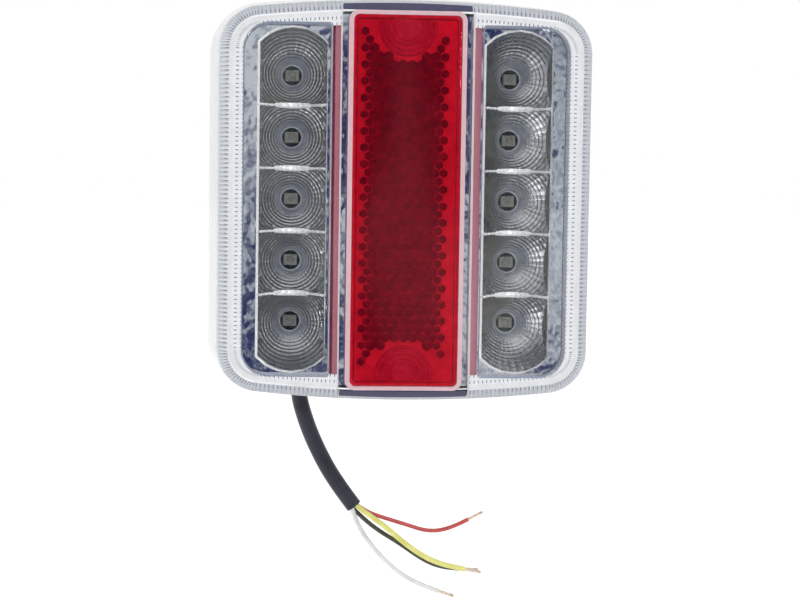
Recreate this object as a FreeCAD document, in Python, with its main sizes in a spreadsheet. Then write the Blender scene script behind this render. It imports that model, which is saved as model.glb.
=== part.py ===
import FreeCAD, Part
import math
import os

import Sketcher
from FreeCAD import Rotation, Vector

# A trailer tail light: clear cover, red reflector, chrome cups, board, LEDs, housing, studs and cable.
#
# The lamp stands as it is mounted: its front faces -Y, +Z is up, and the origin is the middle of the mounting
# pad's flat face. "Depth" is the distance in front of that face, so depth 34 is at Y -34. All sizes are in millimetres.

SIZES = (
    ("lens_half_width", 49.1, "cover at its open back edge, from the middle to a side"),
    ("lens_half_height", 52.5, "cover at its open back edge, from the middle to the top of the bow"),
    ("lens_corner", 13.5, "corner radius of the cover"),
    ("lens_bow", 350, "radius of the gently bowed top and bottom edges"),
    ("lens_back_depth", 3, "where the cover sits on the housing"),
    ("flange_depth", 31.5, "where the sloping side wall meets the front bevel"),
    ("front_depth", 34, "front face"),
    ("flange_inset", 3, "side wall's slope, from the back edge to the bevel"),
    ("rim_inset", 5.35, "from the back edge's outline to the front face's outline"),
    ("rim_corner", 11.2, "corner radius of the front face"),
    ("lens_wall", 2, "thickness of the cover's side wall"),
    ("lens_front_wall", 2.2, "thickness of the cover's front"),
    ("cavity_front_inset", 5.7, "inside of the cover, just behind its front"),
    ("cavity_front_corner", 11, "corner radius there"),
    ("channel_width", 32.2, "shallow channel down the middle of the cover"),
    ("channel_deep", 0.8, "its depth"),
    ("frame_width", 29.2, "raised frame around the red reflector, outside"),
    ("frame_height", 93.8, "raised frame, outside"),
    ("frame_corner", 2.4, "raised frame, outer corner"),
    ("seat_gap", 0.05, "clearance around the red reflector in its seat"),
    ("window_width", 21.9, "smooth window over each row of cups"),
    ("window_height", 86, "its height"),
    ("window_corner", 6, "its corner radius"),
    ("window_deep", 0.4, "how far it lies below the rim"),
    ("window_offset", 29.13, "from the middle of the lamp to the middle of a window"),
    ("rib_offset", 17.3, "from the middle to a rib behind the cover's front"),
    ("rib_thick", 1.1, "its thickness"),
    ("rib_deep", 1.2, "its height behind the front"),
    ("red_width", 26.7, "red reflector"),
    ("red_height", 91.6, "red reflector"),
    ("red_corner", 1.3, "red reflector, corner radius"),
    ("red_thick", 1.6, "its flange, which lies in the seat"),
    ("red_step", 1, "its flange's overlap on the seat's ledge"),
    ("red_body_deep", 1, "its body behind the flange"),
    ("pin_field_width", 21.2, "the field of prism pins on its back"),
    ("pin_field_height", 66, "the same"),
    ("pin_deep", 0.8, "length of the pins"),
    ("ring_zone_width", 17.2, "ringed lens zone at each end of the red reflector"),
    ("ring_zone_height", 9.6, "its height"),
    ("ring_zone_deep", 0.4, "its height behind the body"),
    ("ring_zone_offset", 39.6, "from the middle of the lamp to the middle of the zone"),
    ("backing_width", 24.4, "plate that seals the pins"),
    ("backing_height", 68, "the same"),
    ("backing_thick", 0.5, "its floor"),
    ("backing_gap", 0.3, "air behind the pins"),
    ("strip_offset", 28, "from the middle of the lamp to a row of LEDs"),
    ("led_pitch", 15.7, "from one LED to the next"),
    ("cup_half_width", 8.14, "half the width of a row of cups"),
    ("arch_reach", 11, "from the last LED to the end of the row's opening"),
    ("cup_hole", 2.45, "radius of the hole that an LED shines through"),
    ("cup_bottom_depth", 12.3, "where that hole is"),
    ("bezel_depth", 30.5, "front face of the chrome reflector"),
    ("bezel_thick", 1.3, "its plate"),
    ("bezel_inset", 6.2, "its outline, in from the cover's"),
    ("bezel_corner", 10.4, "its corner radius"),
    ("bezel_slot_width", 25.8, "opening behind the red reflector"),
    ("bezel_slot_height", 90, "the same"),
    ("chrome_wall", 1.1, "thickness of the cups' walls"),
    ("post_across", 12, "from the middle to a screw post, sideways"),
    ("post_up", 30, "from the middle to a screw post, upwards"),
    ("post_radius", 2.8, "screw post"),
    ("post_bore", 1.5, "its hole"),
    ("post_bore_deep", 8, "the hole's depth"),
    ("board_back_depth", 8.4, "back face of the circuit board"),
    ("board_thick", 1.6, "circuit board"),
    ("board_inset", 3.7, "its outline, in from the cover's"),
    ("board_corner", 11.2, "its corner radius"),
    ("board_hole", 1.6, "radius of its screw holes"),
    ("led_width", 3.5, "LED package"),
    ("led_height", 2.8, "LED package"),
    ("led_thick", 1.9, "LED package"),
    ("led_window", 1.1, "radius of the package's round window"),
    ("led_window_deep", 0.3, "depth of that window"),
    ("tail_led_offset", 42.9, "from the middle of the lamp to an LED behind the red reflector"),
    ("plate_inset", 0.8, "housing's back plate, in from the cover's outline"),
    ("plate_corner", 12.7, "its corner radius"),
    ("plate_back_depth", 1, "its outside, which stands clear of the trailer"),
    ("plate_front_depth", 3, "its inside"),
    ("mounting_pad_width", 62, "raised pad around the studs, which lies against the trailer"),
    ("mounting_pad_height", 20, "its height"),
    ("mounting_pad_corner", 9, "its corner radius"),
    ("tray_inset", 2.9, "outside of the housing's wall, in from the cover's outline"),
    ("tray_corner", 12, "its corner radius"),
    ("tray_wall", 1.8, "thickness of that wall"),
    ("pillar_across", 38, "from the middle to a board pillar, sideways"),
    ("pillar_up", 30, "from the middle to a board pillar, upwards"),
    ("pillar_radius", 2.5, "board pillar"),
    ("bead_inset", 2.35, "outside of the seal bead, in from the cover's outline"),
    ("bead_corner", 11.8, "its corner radius"),
    ("bead_deep", 1.5, "height of the seal bead"),
    ("stud_spacing", 45, "between the two mounting studs"),
    ("stud_radius", 2.5, "plain shank next to the back face"),
    ("stud_shank", 3, "length of that shank"),
    ("stud_thread_radius", 2.24, "thread, at its pitch diameter"),
    ("stud_reach", 22, "how far a stud stands out behind the lamp"),
    ("stud_tip", 0.8, "chamfered tip"),
    ("stud_collar", 3, "radius of the collar in the back plate"),
    ("head_flats", 8, "bolt head and nut, across the flats"),
    ("head_thick", 3.5, "bolt head"),
    ("head_play", 0.1, "clearance around the head in its pocket"),
    ("head_seat", 3.2, "depth of the face that the head rests on"),
    ("boss_radius", 7, "boss around a bolt head"),
    ("boss_deep", 3.9, "its height"),
    ("washer_start", 8, "from the back face to the flat washer at rest"),
    ("washer_thick", 1, "flat washer"),
    ("washer_radius", 5, "flat washer"),
    ("washer_bore", 2.65, "flat washer and spring washer"),
    ("spring_thick", 1.2, "spring washer"),
    ("spring_radius", 4.05, "spring washer"),
    ("spring_gap", 0.9, "the split in it"),
    ("nut_thick", 4, "nut"),
    ("nut_bore", 2.29, "nut, at its pitch diameter with clearance"),
    ("cable_across", -25.3, "where the cable passes through the back plate, sideways"),
    ("cable_up", -36, "the same, upwards"),
    ("cable_radius", 2.15, "cable's jacket"),
    ("jacket_inner_depth", 4.7, "where the jacket ends inside the lamp"),
    ("elbow_radius", 3.5, "rubber elbow"),
    ("elbow_stand_off", 5.2, "from the back face to the elbow's outlet"),
    ("elbow_turn", 4.8, "radius of its bend, to the middle"),
    ("elbow_flange", 5, "radius of its two flanges"),
    ("elbow_flange_thick", 1, "thickness of the inner one"),
    ("elbow_tail", 5, "tapered tail"),
    ("elbow_tip_radius", 2.75, "end of the tail"),
    ("glue_radius", 4.2, "glue around the jacket inside the lamp"),
    ("glue_thick", 0.6, "its height"),
    ("lead_radius", 0.5, "wire inside the lamp"),
    ("lead_dip", 0.6, "how far a wire reaches into its solder joint"),
    ("pad_across", -15.6, "solder joints, sideways"),
    ("pad_radius", 1.3, "solder joint"),
    ("pad_thick", 1.8, "solder joint"),
    ("screw_head", 2.8, "radius of a board screw's head"),
    ("screw_head_thick", 1.7, "its thickness"),
    ("screw_shank", 1.45, "radius of a board screw"),
    ("screw_reach", 7.5, "length of its shank"),
    ("strand_radius", 0.45, "bare strands at a wire's end"),
    ("strand_reach", 4.5, "their length"),
)

# Routes are lists of points. The cable starts at the end of the elbow, and each wire starts at the end of the jacket.
CABLE_ROUTE = ((-25.3, 5.2, -45.8), (-25.3, 5.2, -52), (-23.1, 5.3, -59.8), (-19.9, 5.3, -67.4),
               (-15.2, 5.2, -75.9), (-9.8, 5, -82.9))
WIRE_ROUTES = {
    "red": (0.55, ((-9.25, 5.72, -82.44), (-6.4, 5.9, -84.6), (-2, 6.1, -86.2), (4.2, 6.3, -88.1),
                   (10.6, 6.4, -90.2), (16.6, 6.3, -89.3), (21.4, 6.1, -86.7))),
    "yellow": (0.7, ((-9.25, 4.28, -82.44), (-6.3, 4.1, -84.9), (-2, 3.8, -87.7), (3.4, 3.6, -92.4),
                     (9.4, 3.9, -96.7), (15.2, 4.4, -99.1), (20.6, 4.9, -100.2))),
    "black": (0.6, ((-10.35, 5.72, -83.36), (-7.6, 5.9, -86.1), (-3.2, 6.1, -89.7), (2.6, 6.2, -93.2),
                    (9.2, 6.3, -97.9), (14.6, 6.3, -100.1), (19.9, 6.3, -100.4))),
    "white": (0.6, ((-10.35, 4.28, -83.36), (-9.4, 4.2, -86.3), (-7.3, 4.1, -90.3), (-3.6, 4.1, -95.2),
                    (1.6, 4.2, -100.3), (7.6, 4.4, -104.1), (13.4, 4.6, -106.1))),
}
# Inside the lamp, each wire's start beside the jacket's middle, its turning points and its solder joint's height.
LEAD_ROUTES = {
    "red": ((0, 1), ((4.4, 2.5),), -33.4),
    "yellow": ((1, 0), ((4.9, -0.9),), -36.6),
    "black": ((0, -1), ((3.4, -3.2),), -39.8),
    "white": ((-1, 0), ((-0.9, -3.1), (2.4, -6.3)), -43),
}
LEAD_DEPTH = 6.9

SIDES = (-1, 1)
LED_ROWS = (-2, -1, 0, 1, 2)
FULL_TURN = 360
ARCH_FACETS = 6
CUP_RINGS = 7

doc = FreeCAD.newDocument("trailer_tail_light")
sheet = doc.addObject("Spreadsheet::Sheet", "sizes")
for row, (alias, value, meaning) in enumerate(SIZES, start=1):
    sheet.set(f"A{row}", meaning)
    sheet.set(f"B{row}", str(value))
    sheet.setAlias(f"B{row}", alias)
doc.recompute()


def number(expression):
    """The value of an expression over the sheet's cells."""
    return float(sheet.evalExpression(str(expression)))


def size(alias):
    """The value of one cell."""
    return number(f"sizes.{alias}")


def bind(item, expressions):
    """Bind each property path to its expression."""
    for path, expression in expressions.items():
        item.setExpression(path, str(expression))


# Sketches. Each lies across the lamp, looking from the front, and has its own middle.


def new_body(label):
    """An empty PartDesign body."""
    body = doc.addObject("PartDesign::Body", label)
    body.Label = label
    return body


def front_sketch(body, name, depth, across="0", up="0", plane="XZ_Plane"):
    """A sketch on the body's own plane, moved forward by depth and to its middle."""
    sketch = body.newObject("Sketcher::SketchObject", name)
    origin_plane = next(item for item in body.Origin.OriginFeatures if item.Role == plane)
    sketch.AttachmentSupport = [(origin_plane, "")]
    sketch.MapMode = "FlatFace"
    bind(sketch, {
        "AttachmentOffset.Base.x": across,
        "AttachmentOffset.Base.y": up,
        "AttachmentOffset.Base.z": depth,
    })
    return sketch


def constrain(sketch, kind, *details):
    """Add one constraint."""
    return sketch.addConstraint(Sketcher.Constraint(kind, *details))


def dimension(sketch, name, expression, kind, *details):
    """Add one constraint with a value and bind the value to an expression."""
    index = constrain(sketch, kind, *details, number(expression))
    sketch.renameConstraint(index, name)
    sketch.setExpression(f"Constraints.{name}", expression)


def arc(middle, radius, start, end):
    """A flat arc, anticlockwise."""
    circle = Part.Circle(Vector(*middle, 0), Vector(0, 0, 1), radius)
    return Part.ArcOfCircle(circle, start, end)


def outline_curves(inset, corner):
    """The cover's outline moved inwards: bowed top and bottom, straight sides and round corners."""
    half_width = size("lens_half_width") - inset
    half_height = size("lens_half_height") - inset
    bow = size("lens_bow") - inset
    bow_middle = half_height - bow
    across = half_width - corner
    up = bow_middle + math.sqrt((bow - corner) ** 2 - across**2)
    meet = math.atan2(up - bow_middle, across)
    half = math.pi
    return (
        arc((0, bow_middle), bow, meet, half - meet),
        arc((-across, up), corner, half - meet, half),
        Part.LineSegment(Vector(-half_width, up, 0), Vector(-half_width, -up, 0)),
        arc((-across, -up), corner, half, half + meet),
        arc((0, -bow_middle), bow, half + meet, 2 * half - meet),
        arc((across, -up), corner, -meet, 0),
        Part.LineSegment(Vector(half_width, -up, 0), Vector(half_width, up, 0)),
        arc((across, up), corner, 0, meet),
    )


def draw_outline(sketch, inset, corner, name="outline"):
    """The cover's outline moved inwards by inset, in a sketch."""
    first = sketch.GeometryCount
    curves = outline_curves(number(inset), number(corner))
    for curve in curves:
        sketch.addGeometry(curve)
    top, left, bottom, right = first, first + 2, first + 4, first + 6
    corners = [first + index for index in (1, 3, 5, 7)]
    for index in range(len(curves)):
        constrain(sketch, "Tangent", first + index, 2, first + (index + 1) % len(curves), 1)
    for bow in (top, bottom):
        constrain(sketch, "PointOnObject", bow, 3, -2)
    for line in (left, right):
        constrain(sketch, "Vertical", line)
    for index in corners[1:]:
        constrain(sketch, "Equal", corners[0], index)
    constrain(sketch, "Equal", top, bottom)
    half_width = f"sizes.lens_half_width - ({inset})"
    rise = "sizes.lens_bow - sizes.lens_half_height"
    dimension(sketch, f"{name}_bow", f"sizes.lens_bow - ({inset})", "Radius", top)
    dimension(sketch, f"{name}_corner", corner, "Radius", corners[0])
    dimension(sketch, f"{name}_width", f"2 * ({half_width})", "DistanceX", left, 1, right, 2)
    dimension(sketch, f"{name}_half", half_width, "DistanceX", -1, 1, right, 1)
    dimension(sketch, f"{name}_rise", rise, "DistanceY", top, 3, -1, 1)
    dimension(sketch, f"{name}_drop", rise, "DistanceY", -1, 1, bottom, 3)


def draw_rectangle(sketch, width, height, corner="0", name="box"):
    """A rectangle about the sketch's middle, with round corners where corner isn't 0."""
    first = sketch.GeometryCount
    half_width, half_height, radius = number(width) / 2, number(height) / 2, number(corner)
    across, up = half_width - radius, half_height - radius
    ends = (
        ((-across, half_height), (across, half_height)),
        ((half_width, up), (half_width, -up)),
        ((across, -half_height), (-across, -half_height)),
        ((-half_width, -up), (-half_width, up)),
    )
    for start, end in ends:
        sketch.addGeometry(Part.LineSegment(Vector(*start, 0), Vector(*end, 0)))
    top, right, bottom, left = range(first, first + 4)
    if radius:
        quarter = math.pi / 2
        middles = ((across, up, 0), (across, -up, 3), (-across, -up, 2), (-across, up, 1))
        for middle_across, middle_up, turn in middles:
            begin = turn * quarter
            sketch.addGeometry(arc((middle_across, middle_up), radius, begin, begin + quarter))
        for index, line in enumerate((top, right, bottom, left)):
            rounding = first + 4 + index
            constrain(sketch, "Tangent", line, 2, rounding, 2)
            constrain(sketch, "Tangent", rounding, 1, first + (index + 1) % 4, 1)
            if index:
                constrain(sketch, "Equal", first + 4, rounding)
        dimension(sketch, f"{name}_corner", corner, "Radius", first + 4)
    else:
        for index in range(4):
            constrain(sketch, "Coincident", first + index, 2, first + (index + 1) % 4, 1)
    for line in (top, bottom):
        constrain(sketch, "Horizontal", line)
    for line in (left, right):
        constrain(sketch, "Vertical", line)
    dimension(sketch, f"{name}_width", width, "DistanceX", left, 1, right, 1)
    dimension(sketch, f"{name}_height", height, "DistanceY", bottom, 1, top, 1)
    dimension(sketch, f"{name}_half_width", f"({width}) / 2", "DistanceX", -1, 1, right, 1)
    dimension(sketch, f"{name}_half_height", f"({height}) / 2", "DistanceY", -1, 1, top, 1)


def draw_circle(sketch, radius, name="circle"):
    """A circle about the sketch's middle."""
    index = sketch.addGeometry(Part.Circle(Vector(), Vector(0, 0, 1), number(radius)))
    constrain(sketch, "Coincident", index, 3, -1, 1)
    dimension(sketch, name, radius, "Radius", index)


def draw_hexagon(sketch, flats):
    """A hexagon about the sketch's middle, with a flat at its top."""
    reach = f"({flats}) / sqrt(3)"
    corners = [
        Vector(number(reach) * math.cos(turn * math.pi / 3), number(reach) * math.sin(turn * math.pi / 3), 0)
        for turn in range(6)
    ]
    for index, point in enumerate(corners):
        sketch.addGeometry(Part.LineSegment(point, corners[(index + 1) % 6]))
    ring = sketch.addGeometry(Part.Circle(Vector(), Vector(0, 0, 1), number(reach)), True)
    constrain(sketch, "Coincident", ring, 3, -1, 1)
    dimension(sketch, "reach", reach, "Radius", ring)
    for index in range(6):
        constrain(sketch, "Coincident", index, 2, (index + 1) % 6, 1)
        constrain(sketch, "PointOnObject", index, 1, ring)
        if index:
            constrain(sketch, "Equal", 0, index)
    constrain(sketch, "Horizontal", 1)


def pad(body, sketch, length):
    """Add material from a sketch forwards."""
    feature = body.newObject("PartDesign::Pad", f"{sketch.Name}_pad")
    feature.Profile = sketch
    bind(feature, {"Length": length})
    sketch.Visibility = False
    return feature


def pocket(body, sketch, length):
    """Cut from a sketch backwards."""
    feature = body.newObject("PartDesign::Pocket", f"{sketch.Name}_pocket")
    feature.Profile = sketch
    bind(feature, {"Length": length})
    sketch.Visibility = False
    return feature


def loft(body, kind, name, sketches):
    """A straight-sided loft through sketches, added or cut away."""
    feature = body.newObject(f"PartDesign::{kind}", name)
    feature.Profile = sketches[0]
    feature.Sections = list(sketches[1:])
    feature.Ruled = True
    return feature


# Primitives for groups of small pieces. "across", "depth" and "up" are expressions.


def block(name, width, thick, height, across, depth, up):
    """A box whose middle is at across and up, from depth forwards."""
    item = doc.addObject("Part::Box", name)
    bind(item, {
        "Length": width,
        "Width": thick,
        "Height": height,
        "Placement.Base.x": f"{across} - ({width}) / 2",
        "Placement.Base.y": f"-({depth}) - ({thick})",
        "Placement.Base.z": f"{up} - ({height}) / 2",
    })
    return item


def rod(name, radius, thick, across, depth, up):
    """A cylinder along Y whose axis is at across and up, from depth forwards."""
    item = doc.addObject("Part::Cylinder", name)
    item.Placement.Rotation = Rotation(Vector(1, 0, 0), 90)
    bind(item, {
        "Radius": radius,
        "Height": thick,
        "Placement.Base.x": across,
        "Placement.Base.y": f"-({depth})",
        "Placement.Base.z": up,
    })
    return item


def taper(name, back_radius, front_radius, thick, across, depth, up):
    """A cone along Y whose axis is at across and up, from depth forwards."""
    item = doc.addObject("Part::Cone", name)
    item.Placement.Rotation = Rotation(Vector(1, 0, 0), 90)
    bind(item, {
        "Radius1": back_radius,
        "Radius2": front_radius,
        "Height": thick,
        "Placement.Base.x": across,
        "Placement.Base.y": f"-({depth})",
        "Placement.Base.z": up,
    })
    return item


def hexagon_rod(name, flats, thick, across, depth, up):
    """A hexagonal prism along Y whose axis is at across and up, from depth forwards."""
    item = doc.addObject("Part::Prism", name)
    item.Polygon = 6
    item.Placement.Rotation = Rotation(Vector(1, 0, 0), 90)
    bind(item, {
        "Circumradius": f"({flats}) / sqrt(3)",
        "Height": thick,
        "Placement.Base.x": across,
        "Placement.Base.y": f"-({depth})",
        "Placement.Base.z": up,
    })
    return item


def cut(name, base, tool):
    """base without tool."""
    item = doc.addObject("Part::Cut", name)
    item.Base = base
    item.Tool = tool
    return item


def joined(name, pieces):
    """Pieces fused into one solid."""
    item = doc.addObject("Part::MultiFuse", name)
    item.Shapes = list(pieces)
    item.Refine = True
    return item


def group(label, pieces):
    """Separate solids that share one sub-part."""
    item = doc.addObject("Part::Compound", label)
    item.Links = list(pieces)
    item.Label = label
    return item


def fixed_shape(label, shape):
    """A sub-part whose shape is worked out here from the sheet."""
    item = doc.addObject("Part::Feature", label)
    item.Shape = shape
    item.Label = label
    return item


# The cover and what it holds.


def make_outer_lens():
    """Clear cover: sloping wall, front bevel, windows, and a seat with a raised frame for the red reflector."""
    body = new_body("outer_lens")
    outer = []
    for name, depth, inset, corner in (
        ("back_edge", "sizes.lens_back_depth", "0", "sizes.lens_corner"),
        ("flange_edge", "sizes.flange_depth", "sizes.flange_inset", "sizes.lens_corner"),
        ("front_edge", "sizes.front_depth", "sizes.rim_inset", "sizes.rim_corner"),
    ):
        sketch = front_sketch(body, name, depth)
        draw_outline(sketch, inset, corner)
        outer.append(sketch)
    loft(body, "AdditiveLoft", "cover", outer)
    inner = []
    for name, depth, inset, corner in (
        ("cavity_back", "sizes.lens_back_depth", "sizes.lens_wall", "sizes.lens_corner - sizes.lens_wall"),
        ("cavity_front", "sizes.front_depth - sizes.lens_front_wall", "sizes.cavity_front_inset",
         "sizes.cavity_front_corner"),
    ):
        sketch = front_sketch(body, name, depth)
        draw_outline(sketch, inset, corner)
        inner.append(sketch)
    loft(body, "SubtractiveLoft", "cavity", inner)
    channel = front_sketch(body, "channel", "sizes.front_depth")
    draw_rectangle(channel, "sizes.channel_width", "2.2 * sizes.lens_half_height")
    pocket(body, channel, "sizes.channel_deep")
    for side in SIDES:
        across = f"{side} * sizes.window_offset"
        window = front_sketch(body, "window", "sizes.front_depth", across)
        draw_rectangle(window, "sizes.window_width", "sizes.window_height", "sizes.window_corner")
        pocket(body, window, "sizes.window_deep")
    frame = front_sketch(body, "frame", "sizes.front_depth - sizes.channel_deep")
    draw_rectangle(frame, "sizes.frame_width", "sizes.frame_height", "sizes.frame_corner")
    pad(body, frame, "sizes.channel_deep")
    seat = front_sketch(body, "seat", "sizes.front_depth")
    draw_rectangle(seat, "sizes.red_width + 2 * sizes.seat_gap", "sizes.red_height + 2 * sizes.seat_gap",
                   "sizes.red_corner + sizes.seat_gap")
    pocket(body, seat, "sizes.red_thick")
    opening = front_sketch(body, "opening", "sizes.front_depth")
    draw_rectangle(opening, "sizes.red_width - 2 * sizes.red_step + 2 * sizes.seat_gap",
                   "sizes.red_height - 2 * sizes.red_step + 2 * sizes.seat_gap")
    pocket(body, opening, "2 * sizes.lens_front_wall")
    for side in SIDES:
        across = f"{side} * sizes.rib_offset"
        rib_depth = "sizes.front_depth - sizes.lens_front_wall - sizes.rib_deep"
        rib = front_sketch(body, "rib", rib_depth, across)
        draw_rectangle(rib, "sizes.rib_thick", "sizes.window_height")
        pad(body, rib, "sizes.rib_deep + sizes.lens_front_wall / 4")
    return body


def make_red_reflector():
    """Red insert: flange in the seat, body behind it, prism field and a ringed zone at each end."""
    body = new_body("red_reflector")
    flange_depth = "sizes.front_depth - sizes.red_thick"
    body_depth = f"{flange_depth} - sizes.red_body_deep"
    flange = front_sketch(body, "flange", flange_depth)
    draw_rectangle(flange, "sizes.red_width", "sizes.red_height", "sizes.red_corner")
    pad(body, flange, "sizes.red_thick")
    back = front_sketch(body, "back", body_depth)
    draw_rectangle(back, "sizes.red_width - 2 * sizes.red_step", "sizes.red_height - 2 * sizes.red_step")
    pad(body, back, "sizes.red_body_deep")
    pins = front_sketch(body, "pins", f"{body_depth} - sizes.pin_deep")
    draw_rectangle(pins, "sizes.pin_field_width", "sizes.pin_field_height")
    pad(body, pins, "sizes.pin_deep")
    for side in SIDES:
        zone_up = f"{side} * sizes.ring_zone_offset"
        zone = front_sketch(body, "ring_zone", f"{body_depth} - sizes.ring_zone_deep", "0", zone_up)
        draw_rectangle(zone, "sizes.ring_zone_width", "sizes.ring_zone_height")
        pad(body, zone, "sizes.ring_zone_deep")
    return body


def make_reflector_backing():
    """Shallow tray on the back of the red insert, which keeps air and no dirt behind its prisms."""
    body = new_body("reflector_backing")
    back_of_red = "sizes.front_depth - sizes.red_thick - sizes.red_body_deep"
    deep = "sizes.pin_deep + sizes.backing_gap + sizes.backing_thick"
    tray = front_sketch(body, "tray", f"{back_of_red} - ({deep})")
    draw_rectangle(tray, "sizes.backing_width", "sizes.backing_height", "sizes.red_corner")
    pad(body, tray, deep)
    hollow = front_sketch(body, "hollow", back_of_red)
    draw_rectangle(hollow, "sizes.pin_field_width + 2 * sizes.backing_gap",
                   "sizes.pin_field_height + 2 * sizes.backing_gap")
    pocket(body, hollow, "sizes.pin_deep + sizes.backing_gap")
    return body


# The chrome reflector: a plate with two rows of five dished cups behind it.


def facing_front(shape, depth):
    """A flat shape drawn in X and Y, stood up across the lamp at a depth."""
    shape = shape.copy()
    shape.rotate(Vector(), Vector(1, 0, 0), 90)
    shape.translate(Vector(0, -depth, 0))
    return shape


def slab(face, from_depth, to_depth):
    """A face drawn in X and Y, extruded between two depths."""
    return facing_front(face, from_depth).extrude(Vector(0, from_depth - to_depth, 0))


def arch_face(across, margin):
    """A row's opening: straight sides, and ends made of short facets about the last cup."""
    half_width = size("cup_half_width") + margin
    reach = size("arch_reach") + margin
    last_cup = LED_ROWS[-1] * size("led_pitch")
    spread = math.asin(half_width / reach)
    points = []
    for end in SIDES:
        for facet in range(ARCH_FACETS + 1):
            turn = spread * (1 - 2 * facet / ARCH_FACETS)
            points.append(Vector(across - end * reach * math.sin(turn), end * (last_cup + reach * math.cos(turn)), 0))
    return Part.Face(Part.makePolygon(points + points[:1]))


def cup_solid(across, up, margin):
    """What one dished cup takes up: a bowl that deepens with the square of its radius, in flat rings."""
    hole, reach, bottom = size("cup_hole"), size("arch_reach"), size("cup_bottom_depth")
    rise = (size("bezel_depth") - bottom) / (reach**2 - hole**2)
    wall = []
    for ring in range(CUP_RINGS + 2):
        radius = hole + (reach - hole) * ring / CUP_RINGS
        wall.append(Vector(radius + margin, -(bottom + rise * (radius**2 - hole**2) - margin), 0))
    front = wall[-1].y
    profile = [Vector(0, wall[0].y, 0)] + wall + [Vector(0, front, 0)]
    face = Part.Face(Part.makePolygon(profile + profile[:1]))
    solid = face.revolve(Vector(), Vector(0, 1, 0), FULL_TURN)
    solid.translate(Vector(across, 0, up))
    return solid


def make_chrome_reflector():
    """Bright plate with two rows of five cups, an opening behind the red reflector and four screw posts."""
    front, thick, wall = size("bezel_depth"), size("bezel_thick"), size("chrome_wall")
    outline = Part.Wire([curve.toShape() for curve in outline_curves(size("bezel_inset"), size("bezel_corner"))])
    shape = slab(Part.Face(outline), front - thick, front)
    half_width, half_height = size("bezel_slot_width") / 2, size("bezel_slot_height") / 2
    corner = Vector(-half_width, -half_height, 0)
    slot = Part.makePlane(2 * half_width, 2 * half_height, corner)
    shape = shape.cut(slab(slot, front - 2 * thick, front + thick))
    ups = [row * size("led_pitch") for row in LED_ROWS]
    for side in SIDES:
        across = side * size("strip_offset")
        shell = slab(arch_face(across, wall), size("cup_bottom_depth") - wall, front - thick)
        bowls = [cup_solid(across, up, wall) for up in ups]
        shape = shape.fuse(shell.common(bowls[0].multiFuse(bowls[1:])))
        hollow = slab(arch_face(across, 0), size("cup_bottom_depth"), front + thick)
        bowls = [cup_solid(across, up, 0) for up in ups]
        shape = shape.cut(hollow.common(bowls[0].multiFuse(bowls[1:])))
        for up in ups:
            start = Vector(across, -size("cup_bottom_depth") + wall + thick, up)
            shape = shape.cut(Part.makeCylinder(size("cup_hole"), 2 * (wall + thick), start, Vector(0, -1, 0)))
    board_front = size("board_back_depth") + size("board_thick")
    for side in SIDES:
        for level in SIDES:
            foot = Vector(side * size("post_across"), -board_front, level * size("post_up"))
            post_length = front - thick - board_front
            shape = shape.fuse(Part.makeCylinder(size("post_radius"), post_length, foot, Vector(0, -1, 0)))
            bore = Part.makeCylinder(size("post_bore"), size("post_bore_deep"), foot, Vector(0, -1, 0))
            shape = shape.cut(bore)
    return fixed_shape("chrome_reflector", shape.removeSplitter())


# The board and what is soldered to it.


def make_circuit_board():
    """Board with the cover's outline and four screw holes."""
    body = new_body("circuit_board")
    board = front_sketch(body, "board", "sizes.board_back_depth")
    draw_outline(board, "sizes.board_inset", "sizes.board_corner")
    pad(body, board, "sizes.board_thick")
    for side in SIDES:
        for level in SIDES:
            front = "sizes.board_back_depth + sizes.board_thick"
            hole = front_sketch(body, "screw_hole", front, f"{side} * sizes.post_across",
                                f"{level} * sizes.post_up")
            draw_circle(hole, "sizes.board_hole")
            pocket(body, hole, "2 * sizes.board_thick")
    return body


def led_package(name, across, up):
    """One LED package with its round window."""
    front_of_board = "sizes.board_back_depth + sizes.board_thick"
    package = block(f"{name}_case", "sizes.led_width", "sizes.led_thick", "sizes.led_height",
                    across, front_of_board, up)
    window_depth = f"{front_of_board} + sizes.led_thick - sizes.led_window_deep"
    window = rod(f"{name}_window", "sizes.led_window", "2 * sizes.led_window_deep", across, window_depth, up)
    return cut(name, package, window)


def make_led_row(label, side):
    """Five LED packages down one side."""
    across = f"{side} * sizes.strip_offset"
    return group(label, [
        led_package(f"{label}_{index}", across, f"{row} * sizes.led_pitch")
        for index, row in enumerate(LED_ROWS)
    ])


def make_tail_leds():
    """Two LED packages behind the red reflector's ringed zones."""
    return group("leds_tail", [
        led_package(f"leds_tail_{index}", "0", f"{level} * sizes.tail_led_offset")
        for index, level in enumerate(SIDES)
    ])


def make_board_parts(label, width, thick, height, places):
    """Chips of one kind on the back of the board, at the given places."""
    depth = f"sizes.board_back_depth - {thick}"
    return group(label, [
        block(f"{label}_{index}", width, thick, height, across, depth, up)
        for index, (across, up) in enumerate(places)
    ])


def make_solder_joints():
    """Four domes of solder where the wires end."""
    depth = "sizes.board_back_depth - sizes.pad_thick"
    return group("solder_joints", [
        taper(f"solder_{colour}", "0.7 * sizes.pad_radius", "sizes.pad_radius", "sizes.pad_thick",
              "sizes.pad_across", depth, up)
        for colour, (_, _, up) in LEAD_ROUTES.items()
    ])


def make_board_screws():
    """Four screws through the board into the chrome reflector's posts."""
    screws = []
    for side in SIDES:
        for level in SIDES:
            name = f"board_screw_{len(screws)}"
            across, up = f"{side} * sizes.post_across", f"{level} * sizes.post_up"
            head = rod(f"{name}_head", "sizes.screw_head", "sizes.screw_head_thick",
                       across, "sizes.board_back_depth - sizes.screw_head_thick", up)
            shank = rod(f"{name}_shank", "sizes.screw_shank", "sizes.screw_reach",
                        across, "sizes.board_back_depth", up)
            screws.append(joined(name, (head, shank)))
    return group("board_screws", screws)


# The housing, its seal and its studs.


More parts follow.
